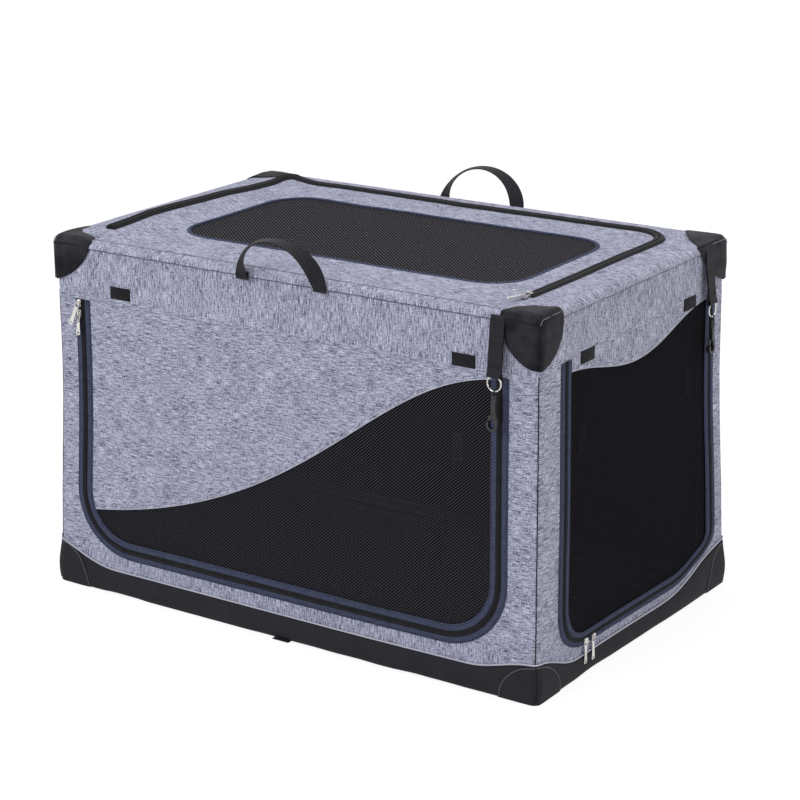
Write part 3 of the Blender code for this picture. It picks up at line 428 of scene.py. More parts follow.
@dataclass(frozen=True)
class GrainedSurface(Finish):
    """A surface with a fine random grain: embossed leathercloth, coated cloth, moulded plastic, powder coat or felt."""

    grain: float = 1.6 * MM
    depth: float = 0.25 * MM
    strength: float = 0.5
    cells: bool = False
    # Second tone, mixed in by slow noise: wear and random tone on most finishes, a painted sheen on the leathercloth.
    wear_and_sheen: str = ""

    def pattern(self, tree: bpy.types.NodeTree) -> dict[str, bpy.types.NodeSocket]:
        """Grain of the given real size as bump, and a slow change of tone between the colour and its second tone: wear
        and random tone on most finishes, a painted sheen on the leathercloth.

        Args:
            tree: the material's nodes.

        Returns:
            Sockets by input name.
        """
        place = add_node(tree, "ShaderNodeTexCoord").outputs["Object"]
        kind = "ShaderNodeTexVoronoi" if self.cells else "ShaderNodeTexNoise"
        grain = add_node(tree, kind, {"Scale": 1 / self.grain}, {"Vector": place})
        out = grain.outputs["Distance" if self.cells else "Fac"]
        bump = add_node(tree, "ShaderNodeBump", {"Strength": self.strength, "Distance": self.depth}, {"Height": out})
        slow = add_node(tree, "ShaderNodeTexNoise", {"Scale": 26.0, "Detail": 5.0, "Roughness": 0.6},
                        {"Vector": place})
        ramp = add_node(tree, "ShaderNodeMapRange", {"From Min": 0.38, "From Max": 0.72},
                        {"Value": slow.outputs["Fac"]})
        colour = add_node(tree, "ShaderNodeMix", {"data_type": "RGBA", 6: linear(self.colour),
                                                  7: linear(self.wear_and_sheen or self.colour)}, {0: ramp.outputs["Result"]})
        rough = add_node(tree, "ShaderNodeMapRange", {"To Min": self.roughness * 0.9,
                                                      "To Max": min(1.0, self.roughness * 1.12)},
                         {"Value": slow.outputs["Fac"]})
        return {"Base Color": colour.outputs[2], "Normal": bump.outputs["Normal"], "Roughness": rough.outputs["Result"]}


@dataclass(frozen=True)
class TwistedThread(Finish):
    """Sewing thread or piping cord: a fine twist shows as slanting light and dark lines."""

    twist: float = 2.4 * MM

    def pattern(self, tree: bpy.types.NodeTree) -> dict[str, bpy.types.NodeSocket]:
        """A slanting twist (real 0.8 mm, drawn at 2.4 mm).

        Args:
            tree: the material's nodes.

        Returns:
            Sockets by input name.
        """
        wave = add_node(tree, "ShaderNodeTexWave", {"bands_direction": "DIAGONAL", "Scale": 1.0},
                        {"Vector": self.laid(tree, WAVE / self.twist, WAVE / self.twist)})
        bump = add_node(tree, "ShaderNodeBump", {"Strength": 0.6, "Distance": 0.2 * MM},
                        {"Height": wave.outputs["Fac"]})
        return {"Normal": bump.outputs["Normal"]}


class Cloth(Enum):
    """Every finish of the kennel."""

    # Heathered cloth: grey lavender, matt, with short dark and pale streaks along its weft.
    HEATHER = HeatheredPolyester("heathered woven polyester", "grey_fabric", "#a4a6bb", 0.9, specular=0.25)
    # Back of the wall fabric: dull and painted near black as shade, so that the inside stays dark behind the netting.
    BACKING = GrainedSurface("fabric back darkened as painted shade", "black_fabric", "#0e0e10", 0.9, grain=2 * MM, wear_and_sheen="#141417",
                             specular=0.05)
    # Netting: black and dull, with a faint painted highlight on its yarn; its rows of holes let the inside through,
    # kept dark by painted shade on the walls' back.
    NETTING = KnittedMesh("knitted polyester netting", "black_mesh", "#0b0b0d", 0.8, specular=0.04)
    # The end door's netting looks into the shaded end of the kennel: its yarn catches little light.
    SHADED_NETTING = KnittedMesh("shaded polyester netting", "black_mesh", "#09090b", 0.8, specular=0.03,
                                 yarn_highlight="#2d2c33")
    # The window's netting is drawn coarser still: from a low angle its rows run together into slanting lines. Its yarn
    # has a brighter painted highlight, for the light that falls on the lid from above.
    WINDOW_NETTING = KnittedMesh("knitted window netting", "black_mesh", "#0b0b0d", 0.8, specular=0.04,
                                 pitch=7.8 * MM, rise=6.7 * MM, yarn_highlight="#5f5d64")
    # Grosgrain: dusty navy with close cross ribs, their grooves in a darker painted shade.
    BINDING = RibbedTape("grosgrain binding", "blue_binding", "#464c64", 0.8, groove_shade_and_tone="#2c3042", specular=0.12)
    # Nylon coil zip on woven tape: black, with the close ribs of the coil as fine cross lines of painted light and
    # shade.
    COIL = RibbedTape("nylon coil zip", "black_fabric", "#222126", 0.6, specular=0.15, rib=2.0 * MM,
                      groove_shade_and_tone="#0d0d10")
    # Leathercloth: embossed vinyl with a low satin gloss that shows each crease; its lighter second tone is a painted
    # sheen in slow patches.
    LEATHER = GrainedSurface("embossed leathercloth", "cap_leather", "#151419", 0.52, grain=1.9 * MM, cells=True,
                             wear_and_sheen="#36343c", specular=0.09, strength=0.8)
    # Coated oxford: near black with a fine even grain, a touch glossier than the netting.
    SKIRT = GrainedSurface("coated oxford cloth", "black_fabric", "#1d1c22", 0.72, grain=1.3 * MM, wear_and_sheen="#26252c",
                           specular=0.2, strength=0.6)
    # Webbing: black, its long ribs painted as light lines with painted shade between them, along straps and handles.
    WEBBING = RibbedTape("polypropylene webbing", "black_webbing", "#222128", 0.6, specular=0.18, rib=1.9 * MM,
                         along=True, groove_shade_and_tone="#0f0f12")
    # Soft side of the ties behind the netting: a worn grey that shows faintly through the holes.
    LOOP_TAPE = RibbedTape("brushed loop tape", "black_webbing", "#6a6970", 0.9, specular=0.1, rib=1.9 * MM,
                           along=True, groove_shade_and_tone="#4c4b52")
    # Piping, thread and seams: a fine twist that breaks their highlights.
    PIPING = TwistedThread("piping cord", "grey_fabric", "#b9bac8", 0.7, specular=0.2)
    THREAD = TwistedThread("sewing thread", "grey_fabric", "#84848e", 0.65, specular=0.2)
    # Near-black cord: dark thread on zips, rolls and straps, and thin lines of painted shade along the corner seams,
    # under the lid's rim, on its hinge and in the caps' creases.
    SEAM = TwistedThread("dark thread and painted shade line", "black_fabric", "#1c1b20", 0.8, specular=0.1)
    # Hook-and-loop pads: dense black loops, matt with a soft edge.
    LOOPS = GrainedSurface("hook and loop pad", "black_fabric", "#17161a", 0.95, grain=1.1 * MM, wear_and_sheen="#222127",
                           strength=0.9, depth=0.6 * MM, specular=0.15, sheen=0.08)
    # Nickel-plated zinc: bright, slightly warm, a fine tumbled haze.
    NICKEL = GrainedSurface("nickel plated zinc", "bright_metal", "#e6e4e0", 0.22, 1.0, grain=0.7 * MM,
                            depth=0.04 * MM, strength=0.3, wear_and_sheen="#b5b2ad")
    # Acetal: black moulding with a soft gloss.
    ACETAL = GrainedSurface("moulded acetal", "black_plastic", "#1b1b1e", 0.4, grain=0.6 * MM, depth=0.05 * MM,
                            strength=0.4, wear_and_sheen="#222226")
    # Powder coat on steel: dark grey, satin, with a slight orange peel.
    STEEL = GrainedSurface("powder coated steel tube", "steel_tube", "#3a3b3f", 0.45, 0.4, grain=0.9 * MM,
                           depth=0.06 * MM, strength=0.5, wear_and_sheen="#46474b")
    # Fleece: deep grey pile with a faint sheen towards its edges.
    FLEECE = GrainedSurface("brushed fleece", "mat_fleece", "#303036", 0.95, grain=2.6 * MM, depth=1.2 * MM,
                            strength=0.8, wear_and_sheen="#3b3b42", specular=0.08, sheen=0.12)

    def made(self) -> bpy.types.Material:
        """The finish's material, built once."""
        return bpy.data.materials.get(self.value.name) or self.value.build()


# Faces of the kennel


@dataclass(frozen=True)
class Ripple:
    """Soft unevenness of stretched cloth: two layers of smooth noise that fade out at calm places."""

    seed: float
    height: float = 1.3 * MM
    fine: float = 0.35 * MM
    calm: tuple[tuple[float, float, float], ...] = ()
    peaks: tuple[tuple[float, float, float, float], ...] = ()

    def at(self, u: np.ndarray, v: np.ndarray) -> np.ndarray:
        """Height of the cloth over its flat face at each point.

        Args:
            u: places along the face.
            v: places up it.

        Returns:
            A height for each point.
        """
        made = np.array([self.height * noise.noise(Vector((a / 0.15, b / 0.19, self.seed)))
                         + self.fine * noise.noise(Vector((a / 0.05, b / 0.065, self.seed + 9.0)))
                         for a, b in zip(u, v)])
        for x, y, reach in self.calm:
            made *= smooth_step(0.35 * reach, reach, np.hypot(u - x, v - y))
        for x, y, reach, rise in self.peaks:
            made += rise * np.exp(-((u - x) ** 2 + (v - y) ** 2) / reach ** 2)
        return made


class Side(Enum):
    """An upright side of the kennel, by its outward direction."""

    FRONT = (0, -1)
    END = (1, 0)
    BACK = (0, 1)
    LEFT = (-1, 0)


@dataclass(frozen=True)
class WallFace:
    """An upright side with rounded ends: u runs along it, v up it, and lift stands off it.

    Between still_low and still_high the cloth ripples. On the end wall the zip's far lower corner is pulled upwards,
    and the cloth is drawn in, by a share, about the height at which the zip's bottom run lies.
    """

    side: Side
    along: float
    away: float
    radius: float
    ripple: Ripple
    still_low: float = 70 * MM
    still_high: float = 566 * MM
    fades: tuple[float, float, float] = (45 * MM, 40 * MM, 25 * MM)
    pulled: float = 0.0
    pulled_along: tuple[float, float] = (115 * MM, 235 * MM)
    pulled_below: tuple[float, float] = (70 * MM, 240 * MM)
    drawn_in: tuple[float, float] = (0.0, 0.0)
    drawn_reach: tuple[float, float] = (18 * MM, 75 * MM)

    @property
    def reach(self) -> float:
        """The furthest u, halfway round the corner."""
        return self.along - self.radius + self.radius * math.pi / 4

    def place(self, u: np.ndarray, v: np.ndarray, lift: np.ndarray) -> np.ndarray:
        """Points in the kennel's frame for points of the flat cloth.

        Args:
            u: places along the side.
            v: heights up it.
            lift: distances off it.

        Returns:
            One point a row.
        """
        nx, ny = self.side.value
        tx, ty = -ny, nx
        off = v - self.drawn_in[0]
        v = v - off * self.drawn_in[1] * (1 - smooth_step(*self.drawn_reach, np.abs(off)))
        v = v + self.pulled * smooth_step(*self.pulled_along, u) * (1 - smooth_step(*self.pulled_below, v))
        flat = self.along - self.radius
        turn = np.clip((np.abs(u) - flat) / self.radius, 0.0, math.pi / 4)
        sign = np.sign(u)
        beside, below, above = self.fades
        quiet = (smooth_step(0.0, beside, self.along - np.abs(u))
                 * smooth_step(self.still_low, self.still_low + below, v)
                 * smooth_step(0.0, above, self.still_high - v))
        out = lift + self.ripple.at(u, v) * quiet
        t = np.where(np.abs(u) > flat, sign * (flat + self.radius * np.sin(turn)), u) + sign * np.sin(turn) * out
        n = self.away - self.radius * (1 - np.cos(turn)) + np.cos(turn) * out
        return np.stack([t * tx + n * nx, t * ty + n * ny, v], axis=1)


@dataclass(frozen=True)
class TopFace:
    """The lid's face, unrolled: past the edge it turns down round the rounded rim."""

    half_x: float
    half_y: float
    top: float
    radius: float
    ripple: Ripple
    margin: tuple[tuple[float, float], ...] = ((-0.27, 0.0), (-0.24, 9 * MM), (-0.19, 10 * MM), (-0.136, 13 * MM),
                                               (-0.073, 12 * MM), (-0.006, 10.5 * MM), (0.061, 9 * MM),
                                               (0.132, 4.5 * MM), (0.204, 2 * MM), (0.25, 0.0))
    margin_rises: tuple[float, float] = (-455 * MM, -397 * MM)
    margin_falls: tuple[float, float] = (-374 * MM, -316 * MM)

    def swell(self, u: np.ndarray, v: np.ndarray) -> np.ndarray:
        """How far the slack margin beside the zip's left leg stands up, from its heights at places along it."""
        heights = np.interp(v, *np.array(self.margin).T)
        return heights * smooth_step(*self.margin_rises, u) * (1 - smooth_step(*self.margin_falls, u))

    def place(self, u: np.ndarray, v: np.ndarray, lift: np.ndarray) -> np.ndarray:
        """Points in the kennel's frame for points of the flat cloth.

        Args:
            u: places along the lid.
            v: places across it.
            lift: heights over it.

        Returns:
            One point a row.
        """
        inner_x, inner_y = self.half_x - self.radius, self.half_y - self.radius
        qx, qy = np.clip(u, -inner_x, inner_x), np.clip(v, -inner_y, inner_y)
        dx, dy = u - qx, v - qy
        away = np.hypot(dx, dy)
        nx, ny = dx / np.maximum(away, 1e-12), dy / np.maximum(away, 1e-12)
        turn = np.clip(away / self.radius, 0, math.pi / 2)
        down = np.maximum(away - self.radius * math.pi / 2, 0)
        edge = np.minimum(self.half_x - np.abs(u), self.half_y - np.abs(v))
        out = lift + self.ripple.at(u, v) * smooth_step(0.0, 30 * MM, edge) + self.swell(u, v)
        side = self.radius * np.sin(turn) + np.sin(turn) * out
        return np.stack([qx + nx * side, qy + ny * side,
                         self.top - self.radius * (1 - np.cos(turn)) - down + np.cos(turn) * out], axis=1)


# Making cloth and bands


def splay(points: np.ndarray, most: float = 9.5 * MM, full: float = 30 * MM, none: float = 410 * MM) -> np.ndarray:
    """Moves points outwards towards the floor, as the base spreads the cloth; least at the front right corner.

    Args:
        points: one point a row.
        most: the furthest way.
        full: the height below which they move so far.
        none: the height above which they stay.

    Returns:
        The moved points.
    """
    x, y, z = points.T
    reach = most * (1 - smooth_step(full, none, z))
    along_x = 1 - 0.8 * smooth_step(0.0, 0.3, x) * (1 - smooth_step(-0.13, 0.2, y))
    along_y = 1 - 0.5 * smooth_step(0.1, 0.42, x) * (1 - smooth_step(-0.1, 0.2, y))
    return np.stack([x + x / HALF_LENGTH * along_x * reach, y + y / HALF_WIDTH * along_y * reach, z], axis=1)


@dataclass
class Patchwork:
    """Collects the parts of one sewn piece, each with its own finish, into one mesh."""

    verts: list = field(default_factory=list)
    faces: list = field(default_factory=list)
    uvs: list = field(default_factory=list)
    kinds: list = field(default_factory=list)

    def add(self, verts: np.ndarray, faces: list, uvs: list, kind: int = 0) -> None:
        """Adds a part.

        Args:
            verts: its points.
            faces: its faces, by the numbers of their points.
            uvs: each face's flat coordinates.
            kind: number of its finish.
        """
        start = len(self.verts)
        self.verts += [tuple(p) for p in verts]
        self.faces += [tuple(start + i for i in face) for face in faces]
        self.uvs += uvs
        self.kinds += [kind] * len(faces)

    def sew(self, name: str, finishes: Sequence[Cloth], outwards: bool = True, angle: float = 40.0) -> bpy.types.Object:
        """Makes the object.

        Args:
            name: the piece's name.
            finishes: its finishes in the order of their numbers.
            outwards: turns every closed part's faces outwards.
            angle: edges sharper than this many degrees stay sharp.

        Returns:
            The new object, at the origin.
        """
        mesh = bpy.data.meshes.new(name)
        mesh.from_pydata(splay(np.array(self.verts)).tolist(), [], self.faces)
        layer = mesh.uv_layers.new(name="cloth")
        flat = [value for face in self.uvs for pair in face for value in pair]
        layer.data.foreach_set("uv", np.array(flat, np.float32))
        mesh.polygons.foreach_set("material_index", np.array(self.kinds, np.int32))
        for finish in finishes:
            mesh.materials.append(finish.made())
        if outwards:
            bm = bmesh.new()
            bm.from_mesh(mesh)
            bmesh.ops.recalc_face_normals(bm, faces=bm.faces)
            bm.to_mesh(mesh)
            bm.free()
        mesh.update()
        made = bpy.data.objects.new(name, mesh)
        bpy.context.scene.collection.objects.link(made)
        make_active(made)
        bpy.ops.object.shade_smooth_by_angle(angle=math.radians(angle))
        return made


def tube(work: Patchwork, verts: np.ndarray, run: Sequence[float], girth: Sequence[float], kind: int,
         closed: bool = False, rise: Sequence[float] | None = None) -> None:
    """Joins sections that follow each other to a tube with closed ends.

    Args:
        work: the piece that the tube is part of.
        verts: the sections' points, one section after another.
        run: the way along the tube to each section.
        girth: the way round the section to each of its points and back to the first.
        kind: number of the tube's finish.
        closed: whether the last section joins up with the first.
        rise: what each point of the section adds to the run on the tube's ends.
    """
    sides = len(girth) - 1
    count = len(verts) // sides
    rise = [0.0] * sides if rise is None else rise
    faces, uvs = [], []
    for i in range(count if closed else count - 1):
        following = (i + 1) % count
        for j in range(sides):
            k = (j + 1) % sides
            faces.append((i * sides + j, i * sides + k, following * sides + k, following * sides + j))
            uvs.append([(run[i], girth[j]), (run[i], girth[j + 1]), (run[i + 1], girth[j + 1]), (run[i + 1], girth[j])])
    if not closed:
        for end in (0, count - 1):
            faces.append(tuple(end * sides + j for j in range(sides)))
            uvs.append([(run[end] + rise[j], girth[j]) for j in range(sides)])
    work.add(verts, faces, uvs, kind)


def band(work: Patchwork, place: Place, path: Flat, section: Flat, kind: int = 0, closed: bool = False) -> None:
    """Sweeps a closed section along a path laid on a face.

    Args:
        work: the piece that the band is part of.
        place: the face's placing function.
        path: the line that the band follows, flat on the face.
        section: points of the section, each as its distance to the right of the path and its lift.
        kind: number of the band's finish.
        closed: whether the path joins up with itself.
    """
    line = np.array(path)
    if closed:
        tangent = np.roll(line, -1, 0) - np.roll(line, 1, 0)
    else:
        tangent = np.gradient(line, axis=0)
    tangent /= np.maximum(np.linalg.norm(tangent, axis=1), 1e-12)[:, None]
    right = np.stack([tangent[:, 1], -tangent[:, 0]], axis=1)
    shape = np.array(section)
    flat = line[:, None, :] + right[:, None, :] * shape[None, :, :1]
    lift = np.repeat(shape[None, :, 1], len(line), axis=0)
    verts = place(flat[..., 0].ravel(), flat[..., 1].ravel(), lift.ravel())
    steps = np.linalg.norm(np.diff(np.vstack([line, line[:1]]), axis=0), axis=1)
    run = np.concatenate([[0], np.cumsum(steps)])
    edges = np.linalg.norm(np.diff(np.vstack([shape, shape[:1]]), axis=0), axis=1)
    tube(work, verts, run, np.concatenate([[0], np.cumsum(edges)]), kind, closed, shape[:, 1])


def round_section(radius: float, lift: float, sides: int = 8, across: float = 0.0) -> Flat:
    """A round section with its centre at the given lift."""
    return [(across + radius * math.cos(a), lift + radius * math.sin(a))
            for a in (2 * math.pi * i / sides for i in range(sides))]


def ribbon(work: Patchwork, points: Sequence[Vector], sides: Sequence[Vector], width: float, thick: float,
           kind: int = 0) -> None:
    """Adds a band of webbing with rounded edges along free points, its width along the given side directions.

    Args:
        work: the piece that it is part of.
        points: the middle line.
        sides: the direction of its width at each point.
        width: its width.
        thick: its thickness.
        kind: number of its finish.
    """
    line = [Vector(p) for p in points]
    half, t = width / 2, thick / 2
    section = [(-half + t * 0.4, t), (half - t * 0.4, t), (half, t * 0.3), (half, -t * 0.3), (half - t * 0.4, -t),
               (-half + t * 0.4, -t), (-half, -t * 0.3), (-half, t * 0.3)]
    run, verts = [0.0], []
    for i, point in enumerate(line):
        ahead, behind = line[min(i + 1, len(line) - 1)], line[max(i - 1, 0)]
        tangent = (ahead - behind).normalized()
        side = (sides[i] - tangent * sides[i].dot(tangent)).normalized()
        normal = tangent.cross(side)
        verts += [point + side * a + normal * b for a, b in section]
        if i:
            run.append(run[-1] + (point - line[i - 1]).length)
    girth = [0.0]
    for (a, b), (c, d) in zip(section, section[1:] + section[:1]):
        girth.append(girth[-1] + math.hypot(c - a, d - b))
    tube(work, np.array([tuple(v) for v in verts]), run, girth, kind)


def cord_along(work: Patchwork, points: Sequence[Vector], radius: float, kind: int = 0, sides: int = 6) -> None:
    """Adds a thin round cord along free points, such as a line of thread.

    Args:
        work: the piece that it is part of.
        points: the middle line.
        radius: its radius.
        kind: number of its finish.
        sides: corners of its section.
    """
    line = [Vector(p) for p in points]
    up = Vector((0.31, 0.2, 0.93))
    verts, run = [], [0.0]
    for i, point in enumerate(line):
        tangent = (line[min(i + 1, len(line) - 1)] - line[max(i - 1, 0)]).normalized()
        side = tangent.cross(up)
        side = side.normalized() if side.length > 0.05 else tangent.orthogonal().normalized()
        up = side.cross(tangent).normalized()
        verts += [point + side * radius * math.cos(a) + up * radius * math.sin(a)
                  for a in (2 * math.pi * j / sides for j in range(sides))]
        if i:
            run.append(run[-1] + (point - line[i - 1]).length)
    girth = [2 * math.pi * radius / sides * j for j in range(sides + 1)]
    tube(work, np.array([tuple(v) for v in verts]), run, girth, kind)


@dataclass
class Sheet:
    """A piece of cloth cut from a flat outline and laid on a face of the kennel."""

    name: str
    place: Place
    outline: Flat
    holes: list[Flat] = field(default_factory=list)
    spacing: float = 8 * MM
    fine_u: tuple[float, ...] = ()
    fine_v: tuple[float, ...] = ()
    lift: float = 0.0
    thick: float = 1.2 * MM
    # The inner face takes the near-black back, a painted shade for the inside of the kennel.
    finishes: tuple[Cloth, ...] = (Cloth.HEATHER, Cloth.BACKING)
    turned: Callable[[np.ndarray, np.ndarray], np.ndarray] | None = None
    area: float = 0.0

    def cut(self) -> tuple[np.ndarray, np.ndarray]:
        """Cuts the flat cloth.

        Returns:
            The points, and the triangles by the numbers of their points.
        """
        loops = [dense(loop, self.spacing * 0.8) for loop in (self.outline, *self.holes)]
        low, high = np.min(loops[0], axis=0), np.max(loops[0], axis=0)
        us = np.unique(np.round(np.concatenate([np.arange(low[0], high[0], self.spacing), self.fine_u]), 6))
        vs = np.unique(np.round(np.concatenate([np.arange(low[1], high[1], self.spacing), self.fine_v]), 6))
        grid = np.array([(u, v) for v in vs for u in us])
        keep = is_inside(grid, loops[0])
        for hole in loops[1:]:
            keep &= ~is_inside(grid, hole)
        grid = grid[keep]
        near = np.min([distance_to(grid, loop) for loop in loops], axis=0)
        step_u = min([b - a for a, b in zip(us, us[1:])])
        grid = grid[near > 0.45 * min(self.spacing, max(step_u, 1.2 * MM))]
        points, edges = [], []
        for loop in loops:
            start = len(points)
            points += [Vector(p) for p in loop]
            edges += [(start + i, start + (i + 1) % len(loop)) for i in range(len(loop))]
        points += [Vector(p) for p in grid]
        verts, _, faces, *_ = delaunay_2d_cdt(points, edges, [], 1, 1e-7)
        flat = np.array([(v.x, v.y) for v in verts])
        triangles = np.array(faces)
        centres = flat[triangles].mean(axis=1)
        keep = np.ones(len(triangles), bool)
        for hole in loops[1:]:
            keep &= ~is_inside(centres, hole)
        triangles = triangles[keep]
        a, b, c = (flat[triangles[:, i]] for i in range(3))
        signed = (b[:, 0] - a[:, 0]) * (c[:, 1] - a[:, 1]) - (b[:, 1] - a[:, 1]) * (c[:, 0] - a[:, 0])
        triangles[signed < 0] = triangles[signed < 0][:, ::-1]
        self.area = float(np.abs(signed).sum() / 2)
        return flat, triangles

    def make(self) -> bpy.types.Object:
        """Cuts the cloth, lays it on its face and gives it its thickness.

        Returns:
            The new piece.
        """
        flat, triangles = self.cut()
        verts = self.place(flat[:, 0], flat[:, 1], np.full(len(flat), self.lift))
        centres = flat[triangles].mean(axis=1)
        swap = self.turned(centres[:, 0], centres[:, 1]) if self.turned else np.zeros(len(triangles), bool)
        uvs = [[(flat[i][1], flat[i][0]) if s else (flat[i][0], flat[i][1]) for i in tri]
               for tri, s in zip(triangles, swap)]
        work = Patchwork()
        work.add(verts, [tuple(t) for t in triangles], uvs)
        made = work.sew(self.name, self.finishes, outwards=False)
        add_modifier(made, "SOLIDIFY", thickness=self.thick, offset=-1.0, use_even_offset=True,
                     material_offset=len(self.finishes) - 1)
        return made


# Sewn parts


@dataclass(frozen=True)
class ZipLine:
    """The U of a door's zip, flat on its wall."""

    left: float
    right: float
    low: float
    high: float
    round_left: float
    round_right: float

    def path(self, offset: float, high: float | None = None, steps: int = 16) -> Flat:
        """The U from its upper left end round to its upper right, moved outwards by offset.

        Args:
            offset: the distance outwards.
            high: the ends' height, if it isn't the zip's.
            steps: steps round each corner.

        Returns:
            The chain of points.
        """
        top = self.high if high is None else high
        return ([(self.left - offset, top)]
                + arc((self.left + self.round_left, self.low + self.round_left), self.round_left + offset,
                      math.pi, 1.5 * math.pi, steps)
                + arc((self.right - self.round_right, self.low + self.round_right), self.round_right + offset,
                      1.5 * math.pi, 2 * math.pi, steps)
                + [(self.right + offset, top)])


def base_cloth(obj: bpy.types.Object) -> bpy.types.Object:
    """The piece rides on the base, with a mesh of its own."""
    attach(obj, "base")
    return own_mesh(obj)


def door_cloth(obj: bpy.types.Object, door: str) -> bpy.types.Object:
    """The piece rides on a door, with a mesh of its own."""
    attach(obj, door)
    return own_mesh(obj)


@dataclass
class CoilZip:
    """A coil zip with a bound edge on each side: dark tape and coil between two raised blue bindings."""

    face: WallFace
    line: ZipLine
    binding_start: float = 5.0 * MM
    binding_end: float = 15.0 * MM

    def half(self, name: str, sign: int) -> bpy.types.Object:
        """Makes one half, on the wall or on the door.

        Args:
            name: the piece's name.
            sign: 1 for the wall's half, -1 for the door's.

        Returns:
            The new piece.
        """
        path = dense(self.line.path(0.0, self.line.high - 0.4 * MM), 6 * MM, closed=False)
        a, b = self.binding_start, self.binding_end
        sections = [
            ([(0.5 * MM, 0.2 * MM), (a + 1 * MM, 0.2 * MM), (a + 1 * MM, 0.8 * MM), (0.5 * MM, 0.9 * MM)], 1),
            (in_mm((0.35, 0.8), (0.45, 1.7), (1.3, 2.2), (2.3, 1.9), (2.8, 0.8)), 1),
            ([(a, 0.1 * MM), (a - 0.1 * MM, 1.5 * MM), (a + 0.5 * MM, 2.1 * MM), (a + 1.6 * MM, 2.2 * MM),
              (a + 5 * MM, 1.6 * MM), (b - 1 * MM, 1.3 * MM), (b - 0.2 * MM, 0.9 * MM), (b, 0.1 * MM)], 0),
        ]
        work = Patchwork()
        for section, kind in sections:
            band(work, self.face.place, path, [(sign * x, z) for x, z in section], kind)
        thread = (sign * (b - 2.2 * MM), 1.45 * MM)
        for piece in stitches(path):
            band(work, self.face.place, piece, round_section(0.35 * MM, thread[1], 4, thread[0]), 2)
        return work.sew(name, (Cloth.BINDING, Cloth.COIL, Cloth.SEAM))


def stitches(path: Flat, pitch: float = 6.5 * MM, length: float = 3.8 * MM) -> list[Flat]:
    """Cuts a chain into short stitches; the real 3 mm stitch is drawn longer, so that it shows.

    Args:
        path: the chain.
        pitch: the way from stitch to stitch.
        length: a stitch's length.

    Returns:
        A short chain for each stitch.
    """
    line = np.array(path)
    run = np.concatenate([[0], np.cumsum(np.linalg.norm(np.diff(line, axis=0), axis=1))])
    made = []
    for start in np.arange(pitch / 2, run[-1] - length, pitch):
        at = np.linspace(start, start + length, 3)
        xs, ys = (np.interp(at, run, line[:, axis]) for axis in (0, 1))
        made.append([(float(x), float(y)) for x, y in zip(xs, ys)])
    return made


def sewn_pad(name: str, face: WallFace, centre: tuple[float, float], size: tuple[float, float], finish: Cloth,
             thick: float = 1.5 * MM, lift: float = 0.0) -> bpy.types.Object:
    """A small pad or tab on a wall: a block shaped with a soft edge and sewn down near its rim.

    Args:
        name: the piece's name.
        face: the wall.
        centre: its middle on the wall.
        size: its width and height.
        finish: its finish.
        thick: its thickness.
        lift: its distance off the wall.

    Returns:
        The new pad.
    """
    deselect_all()
    u, v = centre
    middle = face.place(np.array([u]), np.array([v]), np.array([lift]))[0]
    nx, ny = face.side.value
    bpy.ops.mesh.primitive_cube_add(size=1.0, location=middle, rotation=(0, 0, math.atan2(nx, -ny)))
    pad = bpy.context.active_object
    pad.name = pad.data.name = name
    pad.scale = (size[0], 2 * thick, size[1])
    bpy.ops.object.transform_apply(location=True, rotation=True, scale=True)
    pad.data.materials.append(finish.made())
    add_modifier(pad, "BEVEL", width=0.9 * MM, segments=2)
    make_active(pad)
    bpy.ops.object.shade_smooth_by_angle(angle=math.radians(50))
    return pad


